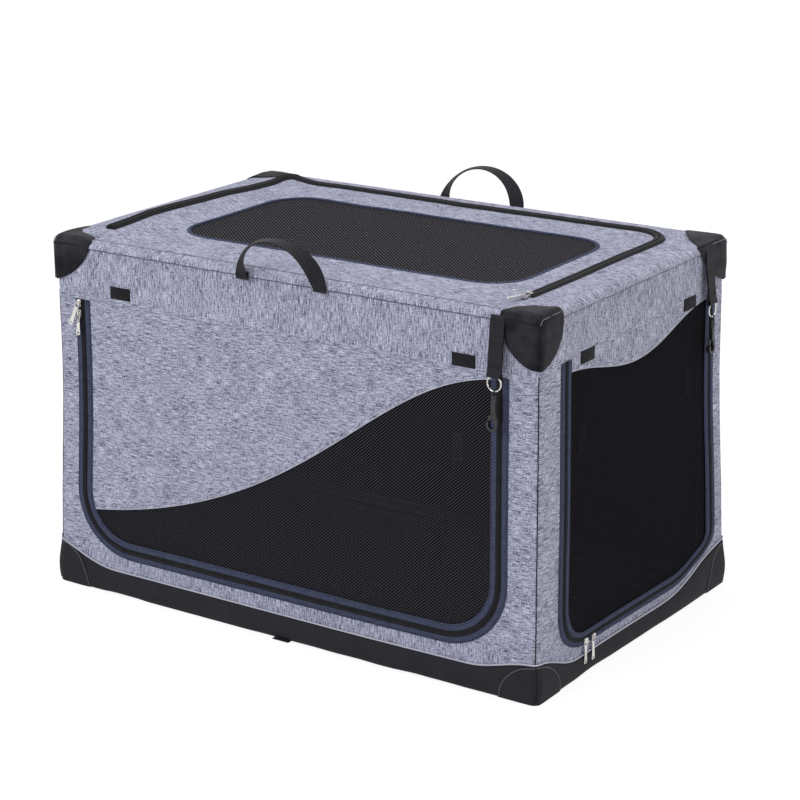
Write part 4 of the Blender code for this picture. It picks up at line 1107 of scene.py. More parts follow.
@dataclass
class FabricBody:
    """The four walls with their doorways, headers, zips, pads and corner seams, the seams drawn dark as painted shade.
    """

    front: WallFace
    end: WallFace
    back: WallFace
    left: WallFace
    front_zip: ZipLine
    end_zip: ZipLine
    low: float = 20 * MM
    high: float = 576.4 * MM
    front_pads: tuple[tuple[float, float], ...] = ((-319.5 * MM, 511 * MM), (325 * MM, 506.5 * MM))
    end_pads: tuple[tuple[float, float], ...] = ((-151 * MM, 501 * MM), (170 * MM, 505 * MM))

    def wall(self, name: str, face: WallFace, zip_line: ZipLine | None, header: float) -> None:
        """Cuts and lays one wall, its streaks upright on the header and on the strip under the zip.

        Args:
            name: the piece's name.
            face: its face.
            zip_line: its door's zip, if it has one.
            header: height of the header's lower edge.
        """
        reach = face.reach
        flat = face.along - face.radius
        ends = [flat + (reach - flat) * k / 4 for k in range(5)] + [flat - 3 * MM]
        outline = [(-reach, self.low), (reach, self.low), (reach, self.high), (-reach, self.high)]
        holes = [zip_line.path(3 * MM, zip_line.high + 1.2 * MM)] if zip_line else []
        bottom = zip_line.low - 2 * MM if zip_line else 0.0
        inner = flat - 45 * MM
        sheet = Sheet(name, face.place, outline, holes, spacing=7 * MM if zip_line else 9 * MM,
                      fine_u=tuple(ends) + tuple(-x for x in ends), fine_v=(header,),
                      turned=lambda u, v: (v > header) | ((v < bottom) & (np.abs(u) < inner)))
        made = sheet.make()
        base_cloth(made)
        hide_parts(name)

    def header_seam(self, name: str, face: WallFace, height: float, proud: float) -> None:
        """The folded and stitched lower edge of the header, which lies over the top of the door.

        Args:
            name: the piece's name.
            face: its wall.
            height: its height.
            proud: how far it stands out.
        """
        path = dense([(-face.reach, height), (face.reach, height)], 8 * MM, closed=False)
        work = Patchwork()
        band(work, face.place, path, [(-5 * MM, -0.3 * MM), (-4.4 * MM, proud * 0.6), (-1 * MM, proud),
                                      (2.2 * MM, proud), (2.9 * MM, proud * 0.4), (2.9 * MM, -0.5 * MM)], 0)
        for piece in stitches(path):
            band(work, face.place, piece, round_section(0.3 * MM, proud + 0.05 * MM, 4, -1.2 * MM), 1)
        base_cloth(work.sew(name, (Cloth.HEATHER, Cloth.THREAD)))

    def corner_seams_and_shade(self) -> None:
        """A near-black cord on each upright corner, from the skirt's patch to the cap: the seam, with the shade of its
        crease painted into it.
        """
        work = Patchwork()
        for sx in (-1, 1):
            for sy in (-1, 1):
                inset = self.front.radius * (1 - math.cos(math.pi / 4))
                x, y = sx * (self.front.along - inset), sy * (self.front.away - inset)
                points = [Vector((x + 0.5 * MM * noise.noise(Vector((z / 0.05, sx, sy))),
                                  y + 0.5 * MM * noise.noise(Vector((z / 0.05, sy, sx + 4.0))), z))
                          for z in np.linspace(56 * MM, 500 * MM, 60)]
                cord_along(work, points, 0.8 * MM)
        base_cloth(work.sew("corner_seams_and_shade", (Cloth.SEAM,)))

    def build(self) -> None:
        """Makes every part of the walls."""
        long_seam, short_seam = self.front_zip.high, self.end_zip.high
        self.wall("front_wall", self.front, self.front_zip, long_seam)
        self.wall("end_wall", self.end, self.end_zip, short_seam)
        self.wall("back_wall", self.back, None, long_seam)
        self.wall("left_wall", self.left, None, short_seam)
        for name, face, height, proud in (("front", self.front, long_seam, 0.7), ("back", self.back, long_seam, 0.7),
                                          ("end", self.end, short_seam, 0.35), ("left", self.left, short_seam, 0.35)):
            self.header_seam(f"{name}_header_seam", face, height + 2 * MM, proud * MM)
        self.corner_seams_and_shade()
        for name, face, line in (("front", self.front, self.front_zip), ("end", self.end, self.end_zip)):
            half = base_cloth(CoilZip(face, line).half(f"{name}_zip_outer", 1))
            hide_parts(f"{name}_zip_outer")
        for name, face, pads in (("front", self.front, self.front_pads), ("end", self.end, self.end_pads)):
            for number, centre in enumerate(pads):
                base_cloth(sewn_pad(f"{name}_pad_{number}", face, centre, (40 * MM, 20 * MM), Cloth.LOOPS))


@dataclass
class ZippedDoor:
    """A door that hangs from the header: heathered cloth above a waved edge, netting below it, half of the zip."""

    name: str
    face: WallFace
    line: ZipLine
    wave: Flat
    turned: bool
    tabs: Flat
    netting: Cloth = Cloth.NETTING
    edge: float = 3 * MM

    def build(self) -> None:
        """Makes the door's pieces."""
        top = self.line.high + 0.8 * MM
        left, right = self.line.left + self.edge, self.line.right - self.edge
        start = self.wave[0]
        corner = [p for p in self.line.path(-self.edge, top) if p[0] < 0 and p[1] > start[1] + 1 * MM]
        outline = corner + self.wave + [(right, top)]
        sheet = Sheet(f"{self.name}_panel", self.face.place, outline, spacing=8 * MM,
                      turned=(lambda u, v: np.ones(len(u), bool)) if self.turned else None)
        panel = sheet.make()
        door_cloth(panel, self.name)
        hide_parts(f"{self.name}_panel")
        below = [p for p in self.line.path(-self.edge) if p[1] < (start[1] if p[0] < 0 else self.wave[-1][1])]
        raised = [(x, min(z + 12 * MM, top)) for x, z in self.wave[::-1]]
        net = Sheet(f"{self.name}_mesh", self.face.place, below + raised, spacing=11 * MM, lift=-1.7 * MM,
                    thick=0.5 * MM, finishes=(self.netting,))
        netting = net.make()
        door_cloth(netting, self.name)
        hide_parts(f"{self.name}_mesh")
        work = Patchwork()
        path = dense(self.wave, 7 * MM, closed=False)
        hem = in_mm((-8, -0.2), (-7.4, 0.45), (-1, 0.6), (0.3, 0.3), (0.3, -1.4))
        band(work, self.face.place, path, hem, 0)
        band(work, self.face.place, path, round_section(0.8 * MM, 0.1 * MM, 6, 0.5 * MM), 1)
        for piece in stitches(path):
            band(work, self.face.place, piece, round_section(0.3 * MM, 0.55 * MM, 4, -6 * MM), 2)
        door_cloth(work.sew(f"{self.name}_hem", (Cloth.HEATHER, Cloth.PIPING, Cloth.THREAD)), self.name)
        zip_name = f"{self.name.split('_')[0]}_zip_inner"
        half = door_cloth(CoilZip(self.face, self.line).half(zip_name, -1), self.name)
        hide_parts(zip_name)
        for number, centre in enumerate(self.tabs):
            tab = sewn_pad(f"{self.name}_loop_{number}", self.face, centre, (17 * MM, 44 * MM), Cloth.LOOP_TAPE,
                           1.0 * MM, -4.2 * MM)
            door_cloth(tab, self.name)


@dataclass
class Lid:
    """The lid's cloth border, with its rounded rim, and near-black cords that draw the seam under the rim and the
    door's hinge, dark as painted shade.
    """

    face: TopFace
    door: Flat
    hinge: float
    drop: float = 2.0 * MM
    border: float = 62 * MM

    def rim(self, past: float) -> Flat:
        """The loop in the unrolled cloth that lies past the flat top's edge by the rim's quarter turn and more.

        Args:
            past: the way past the quarter turn.

        Returns:
            The closed loop.
        """
        reach = self.face.radius * math.pi / 2 + past
        x, y = self.face.half_x - self.face.radius + reach, self.face.half_y - self.face.radius + reach
        return round_rect(-x, x, -y, y, reach)

    def build(self) -> None:
        """Makes the lid and its dark seam lines, which carry painted shade."""
        inner_x, inner_y = self.face.half_x - self.face.radius, self.face.half_y - self.face.radius
        steps = [self.face.radius * math.pi / 2 * k / 6 for k in range(7)]
        fine_u = tuple(s * (inner_x + k) for k in steps for s in (-1, 1))
        fine_v = tuple(s * (inner_y + k) for k in steps for s in (-1, 1))
        sheet = Sheet("lid", self.face.place, self.rim(self.drop), [self.door], spacing=6 * MM, fine_u=fine_u,
                      fine_v=fine_v, thick=1.6 * MM, turned=lambda u, v: (v < self.hinge) & (np.abs(u) < 452 * MM))
        lid = sheet.make()
        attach(lid, "top")
        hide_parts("lid")
        work = Patchwork()
        # Near-black cords under the rim and along the door's hinge: the seams, drawn dark as painted shade of the rim's
        # overhang and of the hinge's crease.
        path = dense(self.rim(self.drop), 7 * MM)
        band(work, self.face.place, path, round_section(0.9 * MM, -0.9 * MM, 6), 0, closed=True)
        hinge = [(x * MM, self.hinge) for x in np.linspace(-380, 381, 120)]
        band(work, self.face.place, hinge, round_section(0.55 * MM, 0.0, 5), 0)
        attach(work.sew("lid_seam_and_shade_lines", (Cloth.SEAM,)), "top")


@dataclass
class TopDoor:
    """The top door: heathered border, netting window with a bound edge, and half of the rolled zip."""

    face: TopFace
    left: float = -379 * MM
    right: float = 382 * MM
    front: float = -276.5 * MM
    back: float = 240 * MM
    corner: float = 24 * MM
    wide_corner: float = 58 * MM
    slit: float = 1.5 * MM
    zip_left: float = -236 * MM
    zip_right: float = -203 * MM
    grow: float = 11 * MM
    window: tuple[float, float, float, float, float] = (-302 * MM, 325 * MM, -172 * MM, 147 * MM, 66 * MM)

    def back_corners(self, offset: float) -> Flat:
        """The arcs of its two back corners, moved outwards, from right to left."""
        r, wide, back = self.corner + offset, self.wide_corner + offset, self.back + offset
        return (arc((self.right + offset - wide, back - wide), wide, 0, math.pi / 2, 14)
                + arc((self.left - offset + r, back - r), r, math.pi / 2, math.pi, 10))

    def loop(self, offset: float) -> Flat:
        """The door's outline, moved outwards; its front corners are square."""
        front = self.front - offset
        return [(self.left - offset, front), (self.right + offset, front)] + self.back_corners(offset)

    def zip_path(self) -> Flat:
        """The middle of the slit from the right leg round the back to the left leg."""
        half = self.slit / 2
        return ([(self.right + half, self.zip_right)] + self.back_corners(half)
                + [(self.left - half, self.zip_left)])

    def roll(self, name: str, sign: int) -> bpy.types.Object:
        """One rolled edge of the zip, black cloth folded round the coil's tape.

        Args:
            name: the piece's name.
            sign: 1 for the lid's side, -1 for the door's.

        Returns:
            The new piece.
        """
        path = dense(self.zip_path(), 5 * MM, closed=False)
        section = in_mm((0.7, -0.2), (0.5, 2.0), (1.2, 3.9), (2.8, 4.9),
                        (4.8, 4.7), (6.8, 3.5), (8.6, 1.6), (9.4, -0.2))

        def puffed(u: np.ndarray, v: np.ndarray, lift: np.ndarray) -> np.ndarray:
            """The top's placing, with fuller rolls on the left leg."""
            return self.face.place(u, v, lift * (1 + 0.5 * smooth_step(340 * MM, 375 * MM, -u)))

        work = Patchwork()
        band(work, puffed, path, [(sign * x, z) for x, z in section], 0)
        for piece in stitches(path):
            band(work, puffed, piece, round_section(0.3 * MM, 3.3 * MM, 4, sign * 7.2 * MM), 1)
        return work.sew(name, (Cloth.COIL, Cloth.SEAM))

    def build(self) -> None:
        """Makes the door's pieces."""
        w = self.window
        opening = round_rect(*w)
        sheet = Sheet("top_door_panel", self.face.place, self.loop(1.2 * MM), [opening], spacing=7 * MM)
        panel = sheet.make()
        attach(panel, "top_door")
        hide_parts("top_door_panel")
        grow = self.grow
        net = Sheet("top_door_mesh", self.face.place,
                    round_rect(w[0] - grow, w[1] + grow, w[2] - grow, w[3] + grow, w[4] + grow), spacing=11 * MM,
                    lift=-1.7 * MM, thick=0.5 * MM, finishes=(Cloth.WINDOW_NETTING,))
        netting = net.make()
        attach(netting, "top_door")
        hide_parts("top_door_mesh")
        work = Patchwork()
        band(work, self.face.place, dense(opening, 6 * MM),
             in_mm((-1.2, -1.5), (-1.4, 0.4), (-0.6, 1.2), (1.2, 1.3), (4.2, 1.0), (5, 0.5), (5, -0.2)), 0, closed=True)
        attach(work.sew("window_binding", (Cloth.BINDING,)), "top_door")
        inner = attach(self.roll("top_zip_inner_roll", -1), "top_door")
        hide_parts("top_zip")
        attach(self.roll("top_zip_outer_roll", 1), "top")


@dataclass
class CornerFan:
    """A shaped patch on one corner: rings and spokes about the apex, laid over the box's rounded edges.

    The apex is the sharp corner that the rounded box would have, and inward points from it into the box.
    """

    apex: tuple[float, float, float]
    inward: tuple[int, int, int]
    radii: tuple[float, float, float]
    radius: float
    faces: tuple[tuple[int, int], ...]
    powers: tuple[float, ...] = (2.0, 2.0, 2.0)
    round_axes: tuple[int, ...] = (0, 1, 2)
    puff: Callable[[float], float] = lambda depth: 0.0
    spokes: int = 18
    rings: int = 22

    def over(self, depth: Sequence[float], lift: float) -> Vector:
        """The point on the rounded box for a point of the sharp one, given by its depths along the inward axes.

        Args:
            depth: the three depths.
            lift: distance off the surface.

        Returns:
            The point.
        """
        q = [max(d, self.radius) if k in self.round_axes else d for k, d in enumerate(depth)]
        away = Vector([d - c for d, c in zip(depth, q)])
        out = self.radius + lift + self.puff(depth[2])
        at = Vector(q) + (away.normalized() * out if away.length > 1e-9 else away)
        return Vector([a + s * p for a, s, p in zip(self.apex, self.inward, at)])

    def depths(self, face: int, share: float, reach: float) -> list[float]:
        """Depths along the inward axes of a point on one face.

        Args:
            face: the face's number.
            share: the way round the face, 0 to 1.
            reach: the way out, 1 at the rim.

        Returns:
            The three depths.
        """
        first, second = self.faces[face]
        at = [0.0, 0.0, 0.0]
        turn = math.pi / 2 * (0.5 - 0.5 * math.cos(math.pi * share))
        power = 2 / self.powers[face]
        at[first] = self.radii[first] * max(0.0, math.cos(turn)) ** power * reach
        at[second] = self.radii[second] * math.sin(turn) ** power * reach
        return at

    def spread(self, work: Patchwork, lift: Callable[[float, float], float], kind: int = 0) -> None:
        """Adds the patch's outer surface to a piece; lift is a function of the spoke's turn and the reach.

        Args:
            work: the piece that it is part of.
            lift: its distance off the box.
            kind: number of its finish.
        """
        turns = [(face, i / self.spokes) for face in range(len(self.faces)) for i in range(self.spokes)]
        whole = len(self.faces) == 3
        if not whole:
            turns.append((len(self.faces) - 1, 1.0))
        reaches = [(k / self.rings) ** 0.9 for k in range(1, self.rings + 1)]
        verts = [self.over((0.0, 0.0, 0.0), lift(0.0, 0.0))]
        for number, (face, share) in enumerate(turns):
            verts += [self.over(self.depths(face, share, reach), lift(number / len(turns), reach)) for reach in reaches]
        n, count, faces, uvs = len(reaches), len(turns), [], []
        for i in range(count if whole else count - 1):
            j = (i + 1) % count
            a, b = 1 + i * n, 1 + j * n
            faces.append((0, a, b))
            uvs.append([(0.0, 0.0), (i * MM, 5 * MM), (i * MM + MM, 5 * MM)])
            for k in range(n - 1):
                faces.append((a + k, a + k + 1, b + k + 1, b + k))
                uvs.append([(i * MM, k * MM), (i * MM, k * MM + MM), (i * MM + MM, k * MM + MM), (i * MM + MM, k * MM)])
        work.add(np.array([tuple(v) for v in verts]), faces, uvs, kind)

    def line(self, axis: int, low: float, high: float, lift: float, steps: int = 30) -> list[Vector]:
        """Points along one sharp edge of the box, on its rounded surface.

        Args:
            axis: the edge's axis.
            low: where it starts.
            high: where it ends.
            lift: distance off the surface.
            steps: steps along it.

        Returns:
            The points.
        """
        made = []
        for k in range(steps + 1):
            at = [0.0, 0.0, 0.0]
            at[axis] = low + (high - low) * k / steps
            made.append(self.over(at, lift))
        return made

    def rim(self, face: int, reach: float, lift: float, steps: int = 40) -> list[Vector]:
        """Points along the patch's rim on one face."""
        return [self.over(self.depths(face, k / steps, reach), lift) for k in range(steps + 1)]


def thicken(made: bpy.types.Object, thick: float) -> bpy.types.Object:
    """Gives an open patch its thickness and makes sure that it faces outwards.

    Args:
        made: the patch.
        thick: its thickness.

    Returns:
        The same patch.
    """
    centre = Vector((0, 0, 300 * MM))
    face = max(made.data.polygons, key=lambda f: f.area)
    if face.normal.dot(face.center - centre) < 0:
        made.data.flip_normals()
    return add_modifier(made, "SOLIDIFY", thickness=thick, offset=-1.0, use_even_offset=True)


@dataclass
class CornerCap:
    """A three-sided leathercloth cap on an upper corner; its top panel is folded over the edges and sewn there.

    Its radii are along the box's three edges, and its powers say how full its rim is on the top, end and long side.
    """

    name: str
    sx: int
    sy: int
    radii: tuple[float, float, float]
    powers: tuple[float, float, float]
    notch: float = 0.0
    half: tuple[float, float, float] = (456.8 * MM, 291.8 * MM, 591.8 * MM)
    radius: float = 12.8 * MM

    def build(self) -> None:
        """Makes the cap."""
        fan = CornerFan((self.sx * self.half[0], self.sy * self.half[1], self.half[2]), (-self.sx, -self.sy, -1),
                        self.radii, self.radius, ((0, 1), (1, 2), (2, 0)), self.powers)
        seed = self.sx * 3.1 + self.sy * 7.7

        def lift(turn: float, reach: float) -> float:
            """A shallow pillow with creases that fan out from the apex and a rim that is drawn down by its stitches.

            Args:
                turn: the way round the apex, 0 to 1.
                reach: the way out, 1 at the rim.

            Returns:
                Distance off the box.
            """
            crease = noise.noise(Vector((math.cos(2 * math.pi * turn) * 3.0, math.sin(2 * math.pi * turn) * 3.0, seed)))
            wave = noise.noise(Vector((reach * 2.2, turn * 9.0, seed + 5.0)))
            rim = max(0.0, (reach - 0.93) / 0.07)
            stitch = math.exp(-((reach - 0.945) / 0.012) ** 2)
            pucker = 0.25 * MM * math.sin(turn * 2 * math.pi * 33) * max(0.0, (reach - 0.8) / 0.2)
            curl = 3.2 * MM * self.notch * math.exp(-((turn - 0.47) / 0.05) ** 2) * max(0.0, (reach - 0.45) / 0.55)
            return (2.6 * MM * crease * reach + 1.9 * MM * wave * reach + 1.6 * MM * math.sin(math.pi * min(1.0, reach))
                    - 1.1 * MM * rim ** 2 - 0.5 * MM * stitch + pucker + curl)

        work = Patchwork()
        fan.spread(work, lift)
        shell = work.sew(self.name, (Cloth.LEATHER,), outwards=False, angle=70)
        thicken(shell, 1.2 * MM)
        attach(shell, "top")
        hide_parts(self.name)
        trim = Patchwork()
        corner = 1.8 * MM
        side = [(a * MM, 0.0, (11.5 + 0.6 * math.sin(a / 9.0)) * MM) for a in np.linspace(60, 7, 26)]
        turned, end = in_mm((4, 0, 12.4), (1, 0, 14)), in_mm((0, 1, 12), (0, 3, 8.4))
        rest = [(0.0, b * MM, (5.2 - 0.02 * b) * MM) for b in np.linspace(6, 55, 24)]
        # The near-black cords along the front and down the upright edge are seams drawn dark as painted shade of their
        # creases; the pale cord is the thread.
        cord_along(trim, [fan.over(p, corner) for p in side + turned], 0.75 * MM, 1)
        cord_along(trim, [fan.over(p, corner) for p in turned[1:] + end + rest], 0.45 * MM, 0)
        cord_along(trim, fan.line(2, 14 * MM, self.radii[2] - 2 * MM, 0.9 * MM), 0.9 * MM, 1)
        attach(trim.sew(f"{self.name}_thread", (Cloth.THREAD, Cloth.SEAM)), "top")


@dataclass
class BaseTray:
    """The dark skirt and floor, piping on the skirt's edge, and a stitched round patch on each lower corner."""

    half_x: float = 453.8 * MM
    half_y: float = 288.8 * MM
    radius: float = 9.8 * MM
    middle_side: float = 41 * MM
    middle_end: float = 32 * MM
    corner: float = 63 * MM
    rise_length: float = 120 * MM
    steep_length: float = 78 * MM
    lift: float = 13 * MM
    bump: float = 23 * MM
    bump_at: float = 205 * MM
    bump_reach: float = 62 * MM
    foot: float = 3 * MM
    levels: int = 6
    sag: float = 3.4 * MM
    uneven: float = 0.7 * MM
    patch_reach: float = 66 * MM
    patch_heights: tuple[float, float] = (61 * MM, 73 * MM)

    def faces(self) -> list[tuple[WallFace, float]]:
        """The four sides in order round the tray, each with its edge's height in the middle.

        Returns:
            A face and a height for each side.
        """
        still = Ripple(0.0, 0.0, 0.0)
        made = []
        for side in (Side.FRONT, Side.END, Side.BACK, Side.LEFT):
            long = side in (Side.FRONT, Side.BACK)
            along, away = (self.half_x, self.half_y) if long else (self.half_y, self.half_x)
            made.append((WallFace(side, along, away, self.radius, still),
                         self.middle_side if long else self.middle_end))
        return made

    def edge(self, u: float, half: float, middle: float) -> float:
        """Height of the skirt's edge at u: it rises to the patch at each corner, more steeply close to it.

        Args:
            u: the place along the side.
            half: half the side's length.
            middle: the edge's height in the middle.

        Returns:
            The height.
        """
        share = max(0.0, 1 - (half - abs(u)) / self.rise_length)
        steep = max(0.0, 1 - (half - abs(u)) / self.steep_length)
        short_side = half < self.half_x
        near_stop = u < 0 if short_side else u > 0
        made = middle + (self.corner - middle) * (1 - math.cos(math.pi * min(1.0, share))) / 2
        if not near_stop:
            made += self.lift * steep ** 2
        if short_side:
            made += self.bump * math.exp(-((u - self.bump_at) / self.bump_reach) ** 2)
        return made

    def bulge(self, height: float, top: float) -> float:
        """How far the skirt stands out over the base tube, at a height under its edge's height."""
        return 4 * MM * math.sin(math.pi * min(1.0, (height + 12 * MM) / (top + 12 * MM))) ** 1.3

    def profile(self, u: float, face: WallFace, top: float) -> tuple[list[float], list[float]]:
        """The skirt's section at u: its underside sags between the corners, and its front bulges unevenly.

        Args:
            u: the place along the side.
            face: the side.
            top: the edge's height.

        Returns:
            Heights and distances off the side.
        """
        nx, ny = face.side.value
        share = max(0.0, min(1.0, (face.along - abs(u)) / self.rise_length))
        sag = self.sag * share * max(0.0, noise.noise(Vector((u / 0.085, nx * 3.1, ny * 4.7))))
        heights = [sag, 0.9 * MM + sag, self.foot + sag * 0.6]
        lifts = [-2.4 * MM, 1.0 * MM, 2.6 * MM]
        for k in range(1, self.levels + 1):
            height = self.foot + (top - self.foot) * k / self.levels
            uneven = abs(noise.noise(Vector((u / 0.06, k / 2.5, nx * 3 + ny * 5.5))))
            heights.append(height)
            lifts.append(self.bulge(height, top) + self.uneven * uneven * math.sin(math.pi * k / self.levels))
        return heights, lifts

    def columns(self, face: WallFace) -> list[float]:
        """Places along a side, closer together round its ends.

        Args:
            face: the side.

        Returns:
            The places in order.
        """
        flat = face.along - face.radius
        middle = np.linspace(-flat, flat, max(2, round(2 * flat / (7 * MM))))
        ends = [flat + (face.reach - flat) * k / 5 for k in range(1, 6)]
        return [-e for e in ends[::-1]] + list(middle) + ends

    def build(self) -> None:
        """Makes the tray, its piping and its corner patches."""
        rings: list[list[tuple[float, float, float]]] = [[] for _ in range(self.levels + 3)]
        piping = Patchwork()
        for face, middle in self.faces():
            columns = self.columns(face)
            for u in columns[:-1]:
                heights, lifts = self.profile(u, face, self.edge(u, face.along, middle))
                placed = face.place(np.full(len(rings), u), np.array(heights), np.array(lifts))
                for ring, point in zip(rings, placed):
                    ring.append(tuple(point))
            path = [(u, self.edge(u, face.along, middle)) for u in columns]
            band(piping, face.place, path, round_section(1.25 * MM, 0.3 * MM, 7), 0)
        count, cell = len(rings[0]), 7 * MM
        faces, uvs = [tuple(range(count))[::-1]], [[(p[0], p[1]) for p in rings[0][::-1]]]
        for r in range(len(rings) - 1):
            for i in range(count):
                j = (i + 1) % count
                faces.append((r * count + i, r * count + j, (r + 1) * count + j, (r + 1) * count + i))
                uvs.append([(x * cell, y * cell) for x, y in ((i, r), (i + 1, r), (i + 1, r + 1), (i, r + 1))])
        work = Patchwork()
        work.add(np.array([p for ring in rings for p in ring]), faces, uvs)
        tray = work.sew("base_tray", (Cloth.SKIRT,), outwards=False)
        add_modifier(tray, "SOLIDIFY", thickness=1.4 * MM, offset=-1.0, use_even_offset=True)
        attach(tray, "base")
        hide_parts("base_tray")
        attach(piping.sew("skirt_piping", (Cloth.PIPING,)), "base")
        for sx in (-1, 1):
            for sy in (-1, 1):
                self.patch(sx, sy)
        self.closing_tab()

    def patch(self, sx: int, sy: int) -> None:
        """Makes one round corner patch with its line of thread.

        Args:
            sx: -1 at the left, 1 at the right.
            sy: -1 at the front, 1 at the back.
        """
        word = f"{'front' if sy < 0 else 'back'}_{'left' if sx < 0 else 'right'}"
        fan = CornerFan((sx * (self.half_x + 0.9 * MM), sy * (self.half_y + 0.9 * MM), 0.6 * MM), (-sx, -sy, 1),
                        (self.patch_reach, self.patch_reach, self.patch_heights[sx == sy]), self.radius + 0.9 * MM,
                        ((0, 2), (2, 1)), round_axes=(0, 1), puff=lambda height: self.bulge(height, self.corner))
        work = Patchwork()
        fan.spread(work, lambda turn, reach: 0.5 * MM * math.sin(math.pi * min(1.0, reach * 0.95))
                   - 0.5 * MM * max(0.0, (reach - 0.94) / 0.06)
                   + 0.5 * MM * noise.noise(Vector((turn * 7.0, reach * 2.0, sx + 2.0 * sy))))
        shell = work.sew(f"base_patch_{word}", (Cloth.SKIRT,), outwards=False, angle=70)
        thicken(shell, 0.9 * MM)
        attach(shell, "base")
        trim = Patchwork()
        for face in (0, 1):
            cord_along(trim, fan.rim(face, 0.955, 0.25 * MM), 0.3 * MM, 0)
        # The near-black cord up the corner is the seam drawn dark as painted shade of its crease.
        cord_along(trim, fan.line(2, 4 * MM, 60 * MM, 0.5 * MM), 0.7 * MM, 1)
        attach(trim.sew(f"base_patch_thread_{word}", (Cloth.THREAD, Cloth.SEAM)), "base")

    def closing_tab(self) -> None:
        """A short webbing tab under the front edge, which holds the kennel shut when it is folded."""
        work = Patchwork()
        points = [Vector(p) for p in in_mm((-1.5, -262, 2.2), (-1.5, -280, 1.6), (-1.5, -292, 1.2), (-1.5, -297, 1.3))]
        ribbon(work, points, [Vector((1, 0, 0))] * len(points), 30 * MM, 1.8 * MM)
        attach(work.sew("closing_tab", (Cloth.WEBBING,)), "base")


@dataclass
class CarryHandle:
    """A loop of webbing sewn into the top seam, twisted a quarter turn up to its crown."""

    name: str
    centre: float
    face: int
    rise: float
    half_span: float = 72.5 * MM
    width: float = 24 * MM
    thick: float = 1.7 * MM
    foot: float = 578 * MM
    away: float = 293.5 * MM
    lean: float = math.radians(12)
    steps: int = 56

    def build(self) -> None:
        """Makes the loop and the two sewn feet."""
        turned = Matrix.Rotation(-self.face * self.lean, 4, "X")
        root = Matrix.Translation((self.centre, self.face * self.away, self.foot)) @ turned
        points, sides = [], []
        for k in range(self.steps + 1):
            a = math.pi * k / self.steps
            normal = Vector((-self.rise * math.cos(a), 0, self.half_span * math.sin(a))).normalized()
            twist = math.pi / 2 * math.sin(a) ** 0.8
            points.append(root @ Vector((-self.half_span * math.cos(a), 0, self.rise * math.sin(a))))
            level = (turned @ Vector((0, 1, 0))).lerp(Vector((0, 1, 0)), math.sin(a) ** 0.8)
            sides.append((turned @ normal) * math.cos(twist) + level * math.sin(twist))
        work = Patchwork()
        ribbon(work, points, sides, self.width, self.thick)
        loop = work.sew(self.name, (Cloth.WEBBING,))
        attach(loop, self.name)
        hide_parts(self.name)
        feet = Patchwork()
        for end in (-1, 1):
            x, y = self.centre + end * self.half_span, self.face * (self.away - 1.2 * MM)
            run = [Vector((x, y, z)) for z in (572 * MM, 576 * MM, 580 * MM, 584 * MM)]
            ribbon(feet, run, [Vector((1, 0, 0))] * 4, self.width, 1.6 * MM)
        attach(feet.sew(f"{self.name}_feet", (Cloth.WEBBING,)), "top")


@dataclass
class HangingStrap:
    """Webbing sewn to the top seam and folded back through its ring."""

    name: str
    root: Matrix
    length: float = 80.5 * MM
    width: float = 24 * MM
    tilt: float = math.radians(-6)

    def build(self) -> None:
        """Makes the strap, its stitching and its sewn root."""
        pose = self.root @ Matrix.Rotation(self.tilt, 4, "X")
        low = -self.length
        path = [(0.75, 0), (0.8, -12), (0.75, -30), (0.8, -52), (0.8, -68), (1.0, -74)]
        line = [Vector((0, -y * MM, z * MM)) for y, z in path]
        fold = [Vector((0, -2.6 * MM * math.cos(a), low - 2.6 * MM * math.sin(a)))
                for a in (math.pi * k / 10 for k in range(11))]
        back = [Vector((0, 0.9 * MM, z * MM)) for z in (-74, -66, -50, -36, -26)]
        shape = line + [Vector((0, -1.8 * MM, low + 3.4 * MM))] + fold + [Vector((0, 1.8 * MM, low + 3.4 * MM))] + back
        work = Patchwork()
        ribbon(work, [pose @ p for p in shape], [pose.to_3x3() @ Vector((1, 0, 0))] * len(shape), self.width, 1.2 * MM)
        for z in (-64, -67.5, -32):
            thread = [pose @ Vector((x * MM, -1.45 * MM, z * MM)) for x in np.linspace(-9.5, 9.5, 9)]
            cord_along(work, thread, 0.3 * MM, 1)
        strap = work.sew(self.name, (Cloth.WEBBING, Cloth.SEAM))
        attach(strap, self.name)
        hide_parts(self.name)
        foot = Patchwork()
        run = [self.root @ Vector((0, y * MM, z * MM)) for y, z in ((2.2, 7.0), (0.6, 5.0), (-0.2, 2.2), (-0.2, 0.3))]
        ribbon(foot, run, [self.root.to_3x3() @ Vector((1, 0, 0))] * 4, self.width, 1.9 * MM)
        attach(foot.sew(f"{self.name}_root", (Cloth.WEBBING,)), "top")


